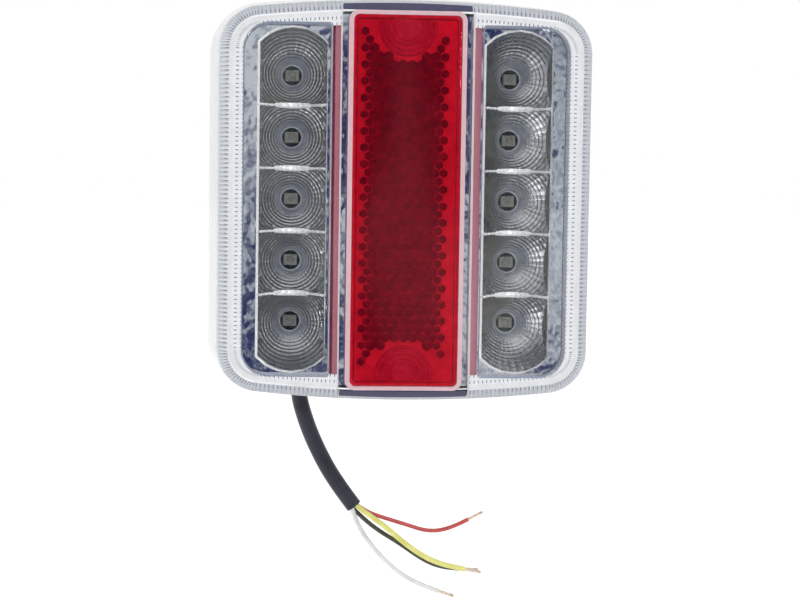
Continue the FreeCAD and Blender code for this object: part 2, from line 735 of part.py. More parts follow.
def make_housing():
    """Black back: plate and its mounting pad, wall, board pillars, bolt head pockets and a hole for the cable."""
    body = new_body("housing")
    plate = front_sketch(body, "plate", "sizes.plate_back_depth")
    draw_outline(plate, "sizes.plate_inset", "sizes.plate_corner")
    pad(body, plate, "sizes.plate_front_depth - sizes.plate_back_depth")
    mounting_pad = front_sketch(body, "mounting_pad", "0")
    draw_rectangle(mounting_pad, "sizes.mounting_pad_width", "sizes.mounting_pad_height",
                   "sizes.mounting_pad_corner")
    pad(body, mounting_pad, "sizes.plate_back_depth")
    wall = front_sketch(body, "wall", "sizes.plate_front_depth")
    draw_outline(wall, "sizes.tray_inset", "sizes.tray_corner", "outside")
    draw_outline(wall, "sizes.tray_inset + sizes.tray_wall", "sizes.tray_corner - sizes.tray_wall", "inside")
    pad(body, wall, "sizes.board_back_depth - sizes.plate_front_depth")
    for side in SIDES:
        for level in SIDES:
            pillar = front_sketch(body, "pillar", "sizes.plate_front_depth", f"{side} * sizes.pillar_across",
                                  f"{level} * sizes.pillar_up")
            draw_circle(pillar, "sizes.pillar_radius")
            pad(body, pillar, "sizes.board_back_depth - sizes.plate_front_depth")
    for side in SIDES:
        across = f"{side} * sizes.stud_spacing / 2"
        boss = front_sketch(body, "boss", "sizes.plate_front_depth", across)
        draw_circle(boss, "sizes.boss_radius")
        pad(body, boss, "sizes.boss_deep")
        top = "sizes.plate_front_depth + sizes.boss_deep"
        head = front_sketch(body, "head_pocket", top, across)
        draw_hexagon(head, "sizes.head_flats + 2 * sizes.head_play")
        pocket(body, head, f"{top} - sizes.head_seat")
        hole = front_sketch(body, "stud_hole", "sizes.head_seat", across)
        draw_circle(hole, "sizes.stud_collar")
        pocket(body, hole, "2 * sizes.head_seat")
    cable_hole = front_sketch(body, "cable_hole", "sizes.plate_front_depth", "sizes.cable_across", "sizes.cable_up")
    draw_circle(cable_hole, "sizes.elbow_radius")
    pocket(body, cable_hole, "2 * sizes.plate_front_depth")
    return body


def make_seal_bead():
    """Bead of sealant between the housing's wall and the cover."""
    body = new_body("seal_bead")
    bead = front_sketch(body, "bead", "sizes.plate_front_depth")
    draw_outline(bead, "sizes.bead_inset", "sizes.bead_corner", "outside")
    draw_outline(bead, "sizes.tray_inset", "sizes.tray_corner", "inside")
    pad(body, bead, "sizes.bead_deep")
    return body


def make_stud_bolts():
    """Two bolts whose heads are held in the housing: head, collar, plain shank, thread and chamfered tip."""
    bolts = []
    for side in SIDES:
        name = f"stud_bolt_{len(bolts)}"
        across = f"{side} * sizes.stud_spacing / 2"
        thread = "sizes.stud_reach - sizes.stud_shank - sizes.stud_tip"
        bolts.append(joined(name, (
            hexagon_rod(f"{name}_head", "sizes.head_flats", "sizes.head_thick", across, "sizes.head_seat", "0"),
            rod(f"{name}_collar", "sizes.stud_collar", "sizes.head_seat", across, "0", "0"),
            rod(f"{name}_shank", "sizes.stud_radius", "sizes.stud_shank", across, "-sizes.stud_shank", "0"),
            rod(f"{name}_thread", "sizes.stud_thread_radius", thread, across,
                "sizes.stud_tip - sizes.stud_reach", "0"),
            taper(f"{name}_tip", "sizes.stud_thread_radius - sizes.stud_tip", "sizes.stud_thread_radius",
                  "sizes.stud_tip", across, "-sizes.stud_reach", "0"),
        )))
    return group("stud_bolts", bolts)


def make_stud_hardware(name, side):
    """Flat washer, spring washer and nut on one stud, in that order from the lamp outwards."""
    across = f"{side} * sizes.stud_spacing / 2"
    flat_depth = "-sizes.washer_start - sizes.washer_thick"
    spring_depth = f"{flat_depth} - sizes.spring_thick"
    nut_depth = f"{spring_depth} - sizes.nut_thick"
    flat = cut(
        f"flat_washer_{name}",
        rod(f"flat_disc_{name}", "sizes.washer_radius", "sizes.washer_thick", across, flat_depth, "0"),
        rod(f"flat_bore_{name}", "sizes.washer_bore", "sizes.washer_thick", across, flat_depth, "0"),
    )
    ring = cut(
        f"spring_ring_{name}",
        rod(f"spring_disc_{name}", "sizes.spring_radius", "sizes.spring_thick", across, spring_depth, "0"),
        rod(f"spring_bore_{name}", "sizes.washer_bore", "sizes.spring_thick", across, spring_depth, "0"),
    )
    split_width = "2 * sizes.spring_radius"
    split_across = f"{across} + sizes.spring_radius"
    split = block(f"spring_split_{name}", split_width, "sizes.spring_thick", "sizes.spring_gap",
                  split_across, spring_depth, "0")
    spring = cut(f"spring_washer_{name}", ring, split)
    nut = cut(
        f"nut_{name}",
        hexagon_rod(f"nut_block_{name}", "sizes.head_flats", "sizes.nut_thick", across, nut_depth, "0"),
        rod(f"nut_hole_{name}", "sizes.nut_bore", "sizes.nut_thick", across, nut_depth, "0"),
    )
    for item in (flat, spring, nut):
        item.Label = item.Name
    return flat, spring, nut


# The cable: elbow, jacket, wires and bare ends.


def rounded_path(points):
    """Straight runs joined by tangent arcs, as large as the runs allow, and the arcs' radii."""
    edges, radii = [], []
    start = points[0]
    for before, corner, after in zip(points, points[1:], points[2:]):
        arriving, leaving = corner - before, after - corner
        half_turn = arriving.getAngle(leaving) / 2
        back_off = 0.45 * min(arriving.Length, leaving.Length)
        radius = back_off / math.tan(half_turn)
        arriving.normalize()
        leaving.normalize()
        begin, end = corner - arriving * back_off, corner + leaving * back_off
        inward = (leaving - arriving).normalize()
        middle = corner + inward * (radius / math.cos(half_turn) - radius)
        edges.append(Part.LineSegment(start, begin).toShape())
        edges.append(Part.Arc(begin, middle, end).toShape())
        radii.append(radius)
        start = end
    edges.append(Part.LineSegment(start, points[-1]).toShape())
    return Part.Wire(edges), radii


def tube(points, radius, name):
    """A round tube along a route. Prints the arcs' radii and compares its volume with section times length."""
    points = [Vector(*point) for point in points]
    path, radii = rounded_path(points)
    circle = Part.Wire(Part.makeCircle(radius, points[0], points[1] - points[0]))
    shape = path.makePipeShell([circle], True, False)
    section = math.pi * radius**2
    printed = ", ".join(f"{value:.1f}" for value in radii)
    print(f"{name}: length {path.Length:.1f}, arc radii {printed}, "
          f"volume / (section x length) {shape.Volume / (section * path.Length):.4f}")
    return shape


def quarter_bend(name, radius):
    """A quarter of a ring: from straight out of the back plate to straight down."""
    item = doc.addObject("Part::Torus", name)
    item.Angle3 = 90
    item.Placement.Rotation = Rotation(Vector(0, 1, 0), -90)
    bind(item, {
        "Radius1": "sizes.elbow_turn",
        "Radius2": radius,
        "Placement.Base.x": "sizes.cable_across",
        "Placement.Base.y": "sizes.elbow_stand_off - sizes.elbow_turn",
        "Placement.Base.z": "sizes.cable_up - sizes.elbow_turn",
    })
    return item


def downward(name, top_radius, end_radius):
    """A round piece that hangs straight down from the end of the bend, as long as the elbow's tail."""
    item = doc.addObject("Part::Cone", name)
    item.Placement.Rotation = Rotation(Vector(1, 0, 0), 180)
    bind(item, {
        "Radius1": top_radius,
        "Radius2": end_radius,
        "Height": "sizes.elbow_tail",
        "Placement.Base.x": "sizes.cable_across",
        "Placement.Base.y": "sizes.elbow_stand_off",
        "Placement.Base.z": "sizes.cable_up - sizes.elbow_turn",
    })
    return item


def through_plate(name, radius, inner_depth):
    """A round piece along Y, from a depth inside the lamp back to the start of the bend."""
    bend_start = "sizes.elbow_turn - sizes.elbow_stand_off"
    return rod(name, radius, f"{inner_depth} - ({bend_start})", "sizes.cable_across", bend_start,
               "sizes.cable_up")


def make_cable_entry():
    """The fixed end of the jacket, from inside the lamp to the end of the elbow."""
    entry = joined("cable_entry", (
        through_plate("entry_straight", "sizes.cable_radius", "sizes.jacket_inner_depth"),
        quarter_bend("entry_bend", "sizes.cable_radius"),
        downward("entry_hanging", "sizes.cable_radius", "sizes.cable_radius"),
    ))
    entry.Label = entry.Name
    return entry


def make_cable_elbow(entry):
    """Rubber elbow around the jacket: two flanges that grip the back plate, a bend and a tapered tail."""
    inner_face = "sizes.plate_front_depth + sizes.elbow_flange_thick"
    body = joined("elbow_body", (
        through_plate("elbow_straight", "sizes.elbow_radius", inner_face),
        quarter_bend("elbow_bend", "sizes.elbow_radius"),
        downward("elbow_tail_cone", "sizes.elbow_radius", "sizes.elbow_tip_radius"),
        rod("elbow_inner_flange", "sizes.elbow_flange", "sizes.elbow_flange_thick", "sizes.cable_across",
            "sizes.plate_front_depth", "sizes.cable_up"),
        rod("elbow_outer_flange", "sizes.elbow_flange", "sizes.plate_back_depth", "sizes.cable_across",
            "0", "sizes.cable_up"),
    ))
    elbow = cut("cable_elbow", body, entry)
    elbow.Label = elbow.Name
    return elbow


def make_cable_glue():
    """Cone of glue around the jacket, on the elbow's inner flange."""
    depth = "sizes.plate_front_depth + sizes.elbow_flange_thick"
    cone = taper("glue_cone", "sizes.glue_radius", "sizes.cable_radius + sizes.glue_thick / 2",
                 "sizes.glue_thick", "sizes.cable_across", depth, "sizes.cable_up")
    bore = rod("glue_bore", "sizes.cable_radius", "sizes.glue_thick", "sizes.cable_across", depth,
               "sizes.cable_up")
    glue = cut("cable_glue", cone, bore)
    glue.Label = glue.Name
    return glue


def make_lead(colour):
    """One wire inside the lamp, from the jacket's end to its solder joint."""
    start, turns, pad_up = LEAD_ROUTES[colour]
    across, up = size("cable_across"), size("cable_up")
    points = [Vector(across + start[0], -size("jacket_inner_depth"), up + start[1])]
    points += [Vector(across + turn[0], -LEAD_DEPTH, up + turn[1]) for turn in (start, *turns)]
    points.append(Vector(size("pad_across") - size("pad_radius") + size("lead_dip"), -LEAD_DEPTH, pad_up))
    return fixed_shape(f"lead_{colour}", tube(points, size("lead_radius"), f"lead_{colour}"))


def make_wire(colour):
    """One wire outside the lamp, from the end of the jacket to where it is stripped."""
    radius, route = WIRE_ROUTES[colour]
    return fixed_shape(f"wire_{colour}", tube(route, radius, f"wire_{colour}"))


def make_wire_ends():
    """The bare strands at the end of each wire."""
    ends = []
    for _, route in WIRE_ROUTES.values():
        before, end = Vector(*route[-2]), Vector(*route[-1])
        ends.append(Part.makeCylinder(size("strand_radius"), size("strand_reach"), end, end - before))
    return fixed_shape("wire_ends", Part.makeCompound(ends))


RESISTOR_PLACES = [(f"{12 + 8 * column}", f"{level}") for column in range(3) for level in (-16, 14)]
DIODE_PLACES = [("-8", "-20"), ("0", "-20")]
REGULATOR_PLACES = [("-34", "-14"), ("-34", "16")]
CAPACITOR_PLACES = [("-6", "20"), ("2", "20")]

cable_entry = make_cable_entry()
sub_parts = [
    make_outer_lens(),
    make_red_reflector(),
    make_reflector_backing(),
    make_chrome_reflector(),
    make_circuit_board(),
    make_led_row("leds_left", -1),
    make_led_row("leds_right", 1),
    make_tail_leds(),
    make_board_parts("resistors", "6.4", "0.6", "3.2", RESISTOR_PLACES),
    make_board_parts("diodes", "4.3", "2.1", "2.6", DIODE_PLACES),
    make_board_parts("regulators", "6.5", "1.6", "6.1", REGULATOR_PLACES),
    make_board_parts("capacitors", "3.2", "1.6", "2.5", CAPACITOR_PLACES),
    make_solder_joints(),
    make_board_screws(),
    make_housing(),
    make_seal_bead(),
    make_stud_bolts(),
    *make_stud_hardware("left", -1),
    *make_stud_hardware("right", 1),
    cable_entry,
    make_cable_elbow(cable_entry),
    make_cable_glue(),
    *[make_lead(colour) for colour in LEAD_ROUTES],
    fixed_shape("cable_sheath", tube(CABLE_ROUTE, size("cable_radius"), "cable_sheath")),
    *[make_wire(colour) for colour in WIRE_ROUTES],
    make_wire_ends(),
]
doc.recompute()

for item in doc.Objects:
    if any(state in ("Invalid", "Error") for state in item.State):
        raise RuntimeError(f"{item.Name} failed: {item.State}")
for item in sub_parts:
    if item.Shape.isNull() or not item.Shape.isValid() or not item.Shape.Solids:
        raise RuntimeError(f"{item.Label} has no sound shape")

os.makedirs("parts", exist_ok=True)
for item in sub_parts:
    item.Shape.exportStep(f"parts/{item.Label}.step")
    print(f"{item.Label}: {len(item.Shape.Solids)} solid(s), {item.Shape.Volume:.1f} mm3")
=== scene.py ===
import math
import bmesh
import bpy
from mathutils import Matrix, Vector


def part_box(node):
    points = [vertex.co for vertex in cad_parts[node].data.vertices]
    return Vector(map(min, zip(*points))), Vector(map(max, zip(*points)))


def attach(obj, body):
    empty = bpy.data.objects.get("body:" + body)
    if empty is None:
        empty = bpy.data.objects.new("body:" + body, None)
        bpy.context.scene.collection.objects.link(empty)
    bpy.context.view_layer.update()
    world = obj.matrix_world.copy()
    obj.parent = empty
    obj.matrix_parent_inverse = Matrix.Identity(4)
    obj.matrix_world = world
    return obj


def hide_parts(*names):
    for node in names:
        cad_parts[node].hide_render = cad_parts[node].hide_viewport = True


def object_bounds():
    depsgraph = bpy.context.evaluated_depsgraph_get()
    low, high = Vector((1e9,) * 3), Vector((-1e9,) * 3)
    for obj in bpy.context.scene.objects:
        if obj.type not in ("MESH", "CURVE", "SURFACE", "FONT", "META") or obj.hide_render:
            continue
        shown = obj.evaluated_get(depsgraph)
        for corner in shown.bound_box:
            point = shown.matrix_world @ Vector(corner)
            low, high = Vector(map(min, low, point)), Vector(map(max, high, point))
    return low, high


# Trailer tail light: the looks of each piece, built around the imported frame.
#
# Shapes are given in millimetres as (across, depth, up): across is +X, up is +Z, and depth is the distance in
# front of the mounting face, so it runs along -Y. place() turns them into metres in the frame.

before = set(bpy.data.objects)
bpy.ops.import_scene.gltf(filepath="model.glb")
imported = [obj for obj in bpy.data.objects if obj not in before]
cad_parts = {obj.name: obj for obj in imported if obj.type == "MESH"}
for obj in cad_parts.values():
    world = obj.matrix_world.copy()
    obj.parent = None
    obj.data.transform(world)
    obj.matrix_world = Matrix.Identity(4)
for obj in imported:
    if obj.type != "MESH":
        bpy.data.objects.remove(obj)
cad_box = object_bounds()
scene = bpy.context.scene

MM = 0.001
TURN = 2 * math.pi
SIDES = (-1, 1)


def place(across, depth, up):
    """A point of the frame, from millimetres."""
    return Vector((across, -depth, up)) * MM


def sizes_of(node):
    """A node's box in millimetres: (left, right), (back depth, front depth), (bottom, top)."""
    low, high = (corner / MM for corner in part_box(node))
    return (low.x, high.x), (-high.y, -low.y), (low.z, high.z)


# Camera.

CAMERA_PLACE = Vector((-36.92, -504.0, 9.23)) * MM
CAMERA_YAW, CAMERA_PITCH, CAMERA_ROLL = 0.076, -0.071, 0.015
CAMERA_LENS = 85.85


def make_camera():
    """The camera, from its place and where it points."""
    camera = bpy.data.objects.new("camera", bpy.data.cameras.new("camera"))
    scene.collection.objects.link(camera)
    forward = Vector((
        math.sin(CAMERA_YAW) * math.cos(CAMERA_PITCH),
        math.cos(CAMERA_YAW) * math.cos(CAMERA_PITCH),
        math.sin(CAMERA_PITCH),
    ))
    level = Vector((math.cos(CAMERA_YAW), -math.sin(CAMERA_YAW), 0))
    upright = level.cross(forward)
    right = math.cos(CAMERA_ROLL) * level + math.sin(CAMERA_ROLL) * upright
    up = math.cos(CAMERA_ROLL) * upright - math.sin(CAMERA_ROLL) * level
    turn = Matrix((right, up, -forward)).transposed().to_4x4()
    camera.matrix_world = Matrix.Translation(CAMERA_PLACE) @ turn
    camera.data.lens = CAMERA_LENS
    scene.camera = camera


# Materials. Each has its own colour, roughness and surface, which vary with noise in the piece's own space.

NOISE_LOW, NOISE_HIGH = 0.3, 0.7
PATCH_DETAIL, SKIN_DETAIL = 4.0, 2.0
ACRYLIC_IOR = 1.49
ACRYLIC_SKIN, ACRYLIC_BUMP = 1.5, 0.003
FROST_ROUGHNESS, FROST_DARKER = 0.25, 0.93


def new_material(name):
    """An empty node material, its tree and its shader."""
    material = bpy.data.materials.new(name)
    material.use_nodes = True
    tree = material.node_tree
    return material, tree, tree.nodes["Principled BSDF"]


def set_inputs(node, **values):
    """Set inputs of a node by name. An underscore stands for a space."""
    for name, value in values.items():
        node.inputs[name.replace("_", " ")].default_value = value


def noise_in(tree, grain, detail):
    """A noise whose lumps are about grain millimetres wide."""
    where = tree.nodes.new("ShaderNodeTexCoord")
    cloud = tree.nodes.new("ShaderNodeTexNoise")
    set_inputs(cloud, Scale=1 / (grain * MM), Detail=detail)
    tree.links.new(where.outputs["Object"], cloud.inputs["Vector"])
    return cloud.outputs["Fac"]


def mixed_colours(tree, factor, first, second, start=0.35, end=0.65):
    """A colour that runs from first to second as factor runs from start to end."""
    ramp = tree.nodes.new("ShaderNodeValToRGB")
    ramp.color_ramp.elements[0].position = start
    ramp.color_ramp.elements[0].color = (*first, 1)
    ramp.color_ramp.elements[1].position = end
    ramp.color_ramp.elements[1].color = (*second, 1)
    tree.links.new(factor, ramp.inputs["Fac"])
    return ramp.outputs["Color"]


def ranged(tree, factor, low, high):
    """A value that runs from low to high with the middle part of a noise."""
    scale = tree.nodes.new("ShaderNodeMapRange")
    set_inputs(scale, From_Min=NOISE_LOW, From_Max=NOISE_HIGH, To_Min=low, To_Max=high)
    tree.links.new(factor, scale.inputs["Value"])
    return scale.outputs["Result"]


def bumped(tree, shader, height, deep):
    """Raise the surface by up to deep millimetres where height is 1."""
    bump = tree.nodes.new("ShaderNodeBump")
    set_inputs(bump, Distance=deep * MM)
    tree.links.new(height, bump.inputs["Height"])
    tree.links.new(bump.outputs["Normal"], shader.inputs["Normal"])


def textured(name, first, second, roughness, grain=2.0, skin=0.3, deep=0.01, **sockets):
    """A material between two colours and two roughnesses, with a fine skin."""
    material, tree, shader = new_material(name)
    patches = noise_in(tree, grain, PATCH_DETAIL)
    tree.links.new(mixed_colours(tree, patches, first, second), shader.inputs["Base Color"])
    fine = noise_in(tree, skin, SKIN_DETAIL)
    tree.links.new(ranged(tree, fine, *roughness), shader.inputs["Roughness"])
    bumped(tree, shader, fine, deep)
    set_inputs(shader, **sockets)
    return material


def see_through(name, tint, roughness, frost=0.0, frost_colour=None):
    """Moulded plastic that refracts, is frosted by a share, and lets light through to what is behind it."""
    material, tree, shader = new_material(name)
    set_inputs(shader, Base_Color=(*tint, 1), IOR=ACRYLIC_IOR, Transmission_Weight=1)
    fine = noise_in(tree, ACRYLIC_SKIN, SKIN_DETAIL)
    tree.links.new(ranged(tree, fine, *roughness), shader.inputs["Roughness"])
    bumped(tree, shader, fine, ACRYLIC_BUMP)
    surface = shader.outputs["BSDF"]
    if frost:
        cloudy = tree.nodes.new("ShaderNodeBsdfPrincipled")
        darker = [FROST_DARKER * part for part in frost_colour]
        colour = mixed_colours(tree, fine, frost_colour, darker)
        tree.links.new(colour, cloudy.inputs["Base Color"])
        set_inputs(cloudy, Roughness=FROST_ROUGHNESS)
        surface = blended(tree, frost, surface, cloudy.outputs["BSDF"])
    clear = tree.nodes.new("ShaderNodeBsdfTransparent")
    set_inputs(clear, Color=(*tint, 1))
    path = tree.nodes.new("ShaderNodeLightPath")
    surface = blended(tree, path.outputs["Is Shadow Ray"], surface, clear.outputs["BSDF"])
    tree.links.new(surface, tree.nodes["Material Output"].inputs["Surface"])
    return material


def blended(tree, share, first, second):
    """Two shaders mixed: share is a number or a node's output."""
    mix = tree.nodes.new("ShaderNodeMixShader")
    if isinstance(share, float):
        mix.inputs["Fac"].default_value = share
    else:
        tree.links.new(share, mix.inputs["Fac"])
    tree.links.new(first, mix.inputs[1])
    tree.links.new(second, mix.inputs[2])
    return mix.outputs["Shader"]


# Meshes.

MOST_SLOTS = 10
FLAT_CORNERS = 9
WELD = 0.0005
FLAT_DEGREES = 0.5
# How far a cutting solid runs past the face that it opens.
PAST = 1.0


def add_piece(name, data):
    """A new object with this mesh or curve. A mesh gets empty material slots, which booleans keep."""
    piece = bpy.data.objects.new(name, data)
    scene.collection.objects.link(piece)
    if piece.type == "MESH":
        while len(data.materials) < MOST_SLOTS:
            data.materials.append(None)
    return piece


def smooth(mesh, degrees):
    """Smooth shading, with edges sharper than this left crisp, and faces of many corners left flat."""
    mesh.shade_smooth()
    mesh.set_sharp_from_angle(angle=math.radians(degrees))
    for face in mesh.polygons:
        face.use_smooth = len(face.vertices) < FLAT_CORNERS


def finished_mesh(name, build):
    """A mesh from a bmesh with its faces turned outwards."""
    bmesh.ops.recalc_face_normals(build, faces=build.faces)
    mesh = bpy.data.meshes.new(name)
    build.to_mesh(mesh)
    build.free()
    return mesh


def ringed(name, rings, looped=False, paint=0):
    """A closed solid through rings of equally many points, capped at its ends or looped back to its start."""
    build = bmesh.new()
    add_rings(build, rings, looped, paint)
    return add_piece(name, finished_mesh(name, build))


def add_rings(build, rings, looped=False, paint=0):
    """Add such a solid to a bmesh. paint is the sides' material, or gives it for a row and a column."""
    rows = [[build.verts.new(point) for point in ring] for ring in rings]
    count = len(rows[0])
    pairs = list(zip(rows, rows[1:] + rows[:1])) if looped else list(zip(rows, rows[1:]))
    for row, (lower, upper) in enumerate(pairs):
        for column in range(count):
            after = (column + 1) % count
            face = build.faces.new((lower[column], lower[after], upper[after], upper[column]))
            face.material_index = paint(row, column) if callable(paint) else paint
    if not looped:
        build.faces.new(rows[0])
        build.faces.new(rows[-1])


def use_result(piece):
    """Make what the modifiers give the piece's own mesh."""
    bpy.context.view_layer.update()
    shown = piece.evaluated_get(bpy.context.evaluated_depsgraph_get())
    result = bpy.data.meshes.new_from_object(shown)
    piece.modifiers.clear()
    piece.data = result


def combine(target, tool, operation):
    """Apply a boolean with tool, and remove the tool."""
    modifier = target.modifiers.new(operation, "BOOLEAN")
    modifier.operation = operation
    modifier.solver = "EXACT"
    modifier.object = tool
    use_result(target)
    bpy.data.objects.remove(tool)


def welded_copy(node, name):
    """A new object with a copy of a CAD node's mesh, its points merged and its flat faces whole."""
    build = bmesh.new()
    build.from_mesh(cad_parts[node].data)
    bmesh.ops.remove_doubles(build, verts=build.verts, dist=WELD * MM)
    flat = math.radians(FLAT_DEGREES)
    bmesh.ops.dissolve_limit(build, angle_limit=flat, verts=build.verts, edges=build.edges)
    return add_piece(name, finished_mesh(name, build))


def rounded_box(half_width, half_height, corners, steps=6):
    """Points round a rectangle about its middle. corners has the radius at top right, top left and so on."""
    points = []
    for index, radius in enumerate(corners):
        side, level = ((1, 1), (-1, 1), (-1, -1), (1, -1))[index]
        for step in range(steps + 1):
            turn = TURN / 4 * (index + step / steps)
            points.append((
                side * (half_width - radius) + radius * math.cos(turn),
                level * (half_height - radius) + radius * math.sin(turn),
            ))
    return points


def circle(across, up, radius, depth, count, shift=0.0):
    """A ring of points round an axis that runs forwards, turned by shift steps."""
    turns = [TURN * (step + shift) / count for step in range(count)]
    return [place(across + radius * math.cos(turn), depth, up + radius * math.sin(turn)) for turn in turns]


def dyed(piece, slot):
    """The same piece with every face in one material."""
    for face in piece.data.polygons:
        face.material_index = slot
    return piece


def stack(name, layers, middle=(0, 0), paint=0):
    """A solid through flat outlines: layers are (points, depth)."""
    rings = [[place(middle[0] + x, depth, middle[1] + z) for x, z in points] for points, depth in layers]
    return ringed(name, rings, paint=paint)


def box_stack(name, rows, steps=6, paint=0):
    """A stack of rounded boxes. Each row is a half width, a half height, a corner radius and a depth."""
    layers = [(rounded_box(*sizes, (corner,) * 4, steps), depth) for *sizes, corner, depth in rows]
    return stack(name, layers, paint=paint)


def settle(piece, materials, slot, *nodes, body="lamp"):
    """Give a piece its materials and its body, and hide the CAD nodes that it stands for. slot is not used.
    """
    slots = piece.data.materials
    while len(slots) > len(materials):
        slots.pop()
    while len(slots) < len(materials):
        slots.append(None)
    for index, material in enumerate(materials):
        slots[index] = material
    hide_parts(*nodes)
    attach(piece, body)


# Cords. The routes are the CAD model's, in millimetres as X, Y and Z.

CABLE_ROUTE = ((-25.3, 5.2, -45.8), (-25.3, 5.2, -52), (-23.1, 5.3, -59.8), (-19.9, 5.3, -67.4),
               (-15.2, 5.2, -75.9), (-9.8, 5, -82.9))
CABLE_RADIUS = 2.15
WIRES = {
    "red": (0.55, 32.8, (
        (-9.25, 5.72, -82.44), (-6.4, 5.9, -84.6), (-2, 6.1, -86.2), (4.2, 6.3, -88.1),
        (10.6, 6.4, -90.2), (16.6, 6.3, -89.3), (21.4, 6.1, -86.7))),
    "yellow": (0.7, 35.3, (
        (-9.25, 4.28, -82.44), (-6.3, 4.1, -84.9), (-2, 3.8, -87.7), (3.4, 3.6, -92.4),
        (9.4, 3.9, -96.7), (15.2, 4.4, -99.1), (20.6, 4.9, -100.2))),
    "black": (0.6, 35.5, (
        (-10.35, 5.72, -83.36), (-7.6, 5.9, -86.1), (-3.2, 6.1, -89.7), (2.6, 6.2, -93.2),
        (9.2, 6.3, -97.9), (14.6, 6.3, -100.1), (19.9, 6.3, -100.4))),
    "white": (0.6, 34.2, (
        (-10.35, 4.28, -83.36), (-9.4, 4.2, -86.3), (-7.3, 4.1, -90.3), (-3.6, 4.1, -95.2),
        (1.6, 4.2, -100.3), (7.6, 4.4, -104.1), (13.4, 4.6, -106.1))),
}
STRANDS = 7
STRAND_REACH = 4.5
STRAND_RADIUS = 0.15
STRAND_STEPS, STRAND_SIDES = 18, 8
STRAND_SPREAD, STRAND_SPLAY = 0.29, 0.06
STRAND_TWISTS = 1.4
STRAND_UNEVEN = 0.02


def make_cord(name, route, radius):
    """A cord: one smooth spline along the route."""
    curve = bpy.data.curves.new(name, "CURVE")
    curve.dimensions = "3D"
    curve.bevel_depth = radius * MM
    curve.bevel_resolution = 8
    curve.resolution_u = 16
    curve.use_fill_caps = True
    spline = curve.splines.new("NURBS")
    spline.points.add(len(route) - 1)
    for control, point in zip(spline.points, route):
        control.co = (*(Vector(point) * MM), 1)
    spline.order_u = 3
    spline.use_endpoint_u = True
    return add_piece(name, curve)


def make_strands(name, start, direction):
    """Seven fine strands twisted together, slightly splayed at their tip."""
    build = bmesh.new()
    across = direction.orthogonal().normalized()
    for strand in range(STRANDS):
        rings = []
        for step in range(STRAND_STEPS + 1):
            along = step / STRAND_STEPS
            spread = (STRAND_SPREAD + STRAND_SPLAY * along**3) * (0 if strand == 0 else 1)
            turn = Matrix.Rotation(TURN * (strand / (STRANDS - 1) + STRAND_TWISTS * along), 3, direction)
            reach = STRAND_REACH * along * (1 - STRAND_UNEVEN * (strand % 3))
            middle = start + (turn @ across * spread + direction * reach) * MM
            rings.append([
                middle + Matrix.Rotation(TURN * corner / STRAND_SIDES, 3, direction)
                @ across * STRAND_RADIUS * MM
                for corner in range(STRAND_SIDES)
            ])
        add_rings(build, rings)
    mesh = finished_mesh(name, build)
    smooth(mesh, 60)
    return add_piece(name, mesh)


def make_cable():
    """The jacket, the four wires and their bare ends."""
    jacket = make_cord("cable_jacket", CABLE_ROUTE, CABLE_RADIUS)
    rubbery = textured("jacket_pvc", (0.008, 0.009, 0.016), (0.018, 0.021, 0.036), (0.3, 0.42),
                       6, 0.4, 0.008, Specular_IOR_Level=0.3, Coat_Weight=0.1, Coat_Roughness=0.25)
    settle(jacket, [rubbery], "black_jacket", "cable_sheath")
    colours = {
        "red": ((0.4, 0.045, 0.045), (0.5, 0.08, 0.075)),
        "yellow": ((0.54, 0.52, 0.12), (0.64, 0.62, 0.2)),
        "black": ((0.03, 0.032, 0.022), (0.055, 0.056, 0.042)),
        "white": ((0.5, 0.5, 0.5), (0.62, 0.62, 0.62)),
    }
    copper = textured("copper_strands", (0.68, 0.54, 0.42), (0.82, 0.74, 0.64), (0.25, 0.45),
                      0.4, 0.1, 0.004, Metallic=0.9)
    for colour, (radius, length, route) in WIRES.items():
        wire = make_cord(f"wire_{colour}_insulation", route, radius)
        shine = textured(f"{colour}_pvc", *colours[colour], (0.3, 0.45), 2.5, 0.25, 0.004)
        settle(wire, [shine], f"{colour}_insulation", f"wire_{colour}")
        before, end = (Vector(point) for point in route[-2:])
        strands = make_strands(f"strands_{colour}", end * MM, (end - before).normalized())
        settle(strands, [copper], "copper_strands", "wire_ends")


# The cover.

(_, LENS_HALF_WIDTH), (LENS_BACK, LENS_FRONT), (_, LENS_HALF_HEIGHT) = sizes_of("outer_lens")
LENS_CORNER = 13.5
LENS_BOW = 350.0
FLUTE_POINTS = (0.0, 0.2, 1.0, 0.2)
FLUTES = 348
FLUTE_FADE = 0.8
CHANNEL_HALF = 16.1
CHANNEL_DEPTH = 33.2
CHANNEL_SLOPE = 0.45
# Rows of the cover's inside: depth and inset from the back edge's outline.
INNER_ROWS = ((31.8, 5.7), (LENS_BACK, 2))
# Rows of its outside: depth, inset, and how deep the flutes are inwards and down.
COVER_ROWS = (
    (LENS_BACK, 0, 0, 0), (12, 0.95, 0, 0), (22, 2.0, 0, 0), (31.3, 2.98, 0, 0),
    (31.6, 3.08, 0.03, 0.03), (31.95, 3.4, 0.12, 0.1), (32.9, 4.3, 0.14, 0.12),
    (33.1, 4.5, 0.18, 0.16), (33.85, 5.2, 0.18, 0.16), (LENS_FRONT, 5.45, 0, 0),
    (LENS_FRONT, 7.0, 0, 0), (LENS_FRONT - 0.02, 7.1, 0, 0.14), (LENS_FRONT - 0.02, 7.6, 0, 0.16),
    (LENS_FRONT, 7.7, 0, 0), (LENS_FRONT, 8.5, 0, 0), (LENS_FRONT - 0.02, 8.6, 0, 0.2),
    (LENS_FRONT, 9.1, 0, 0),
)
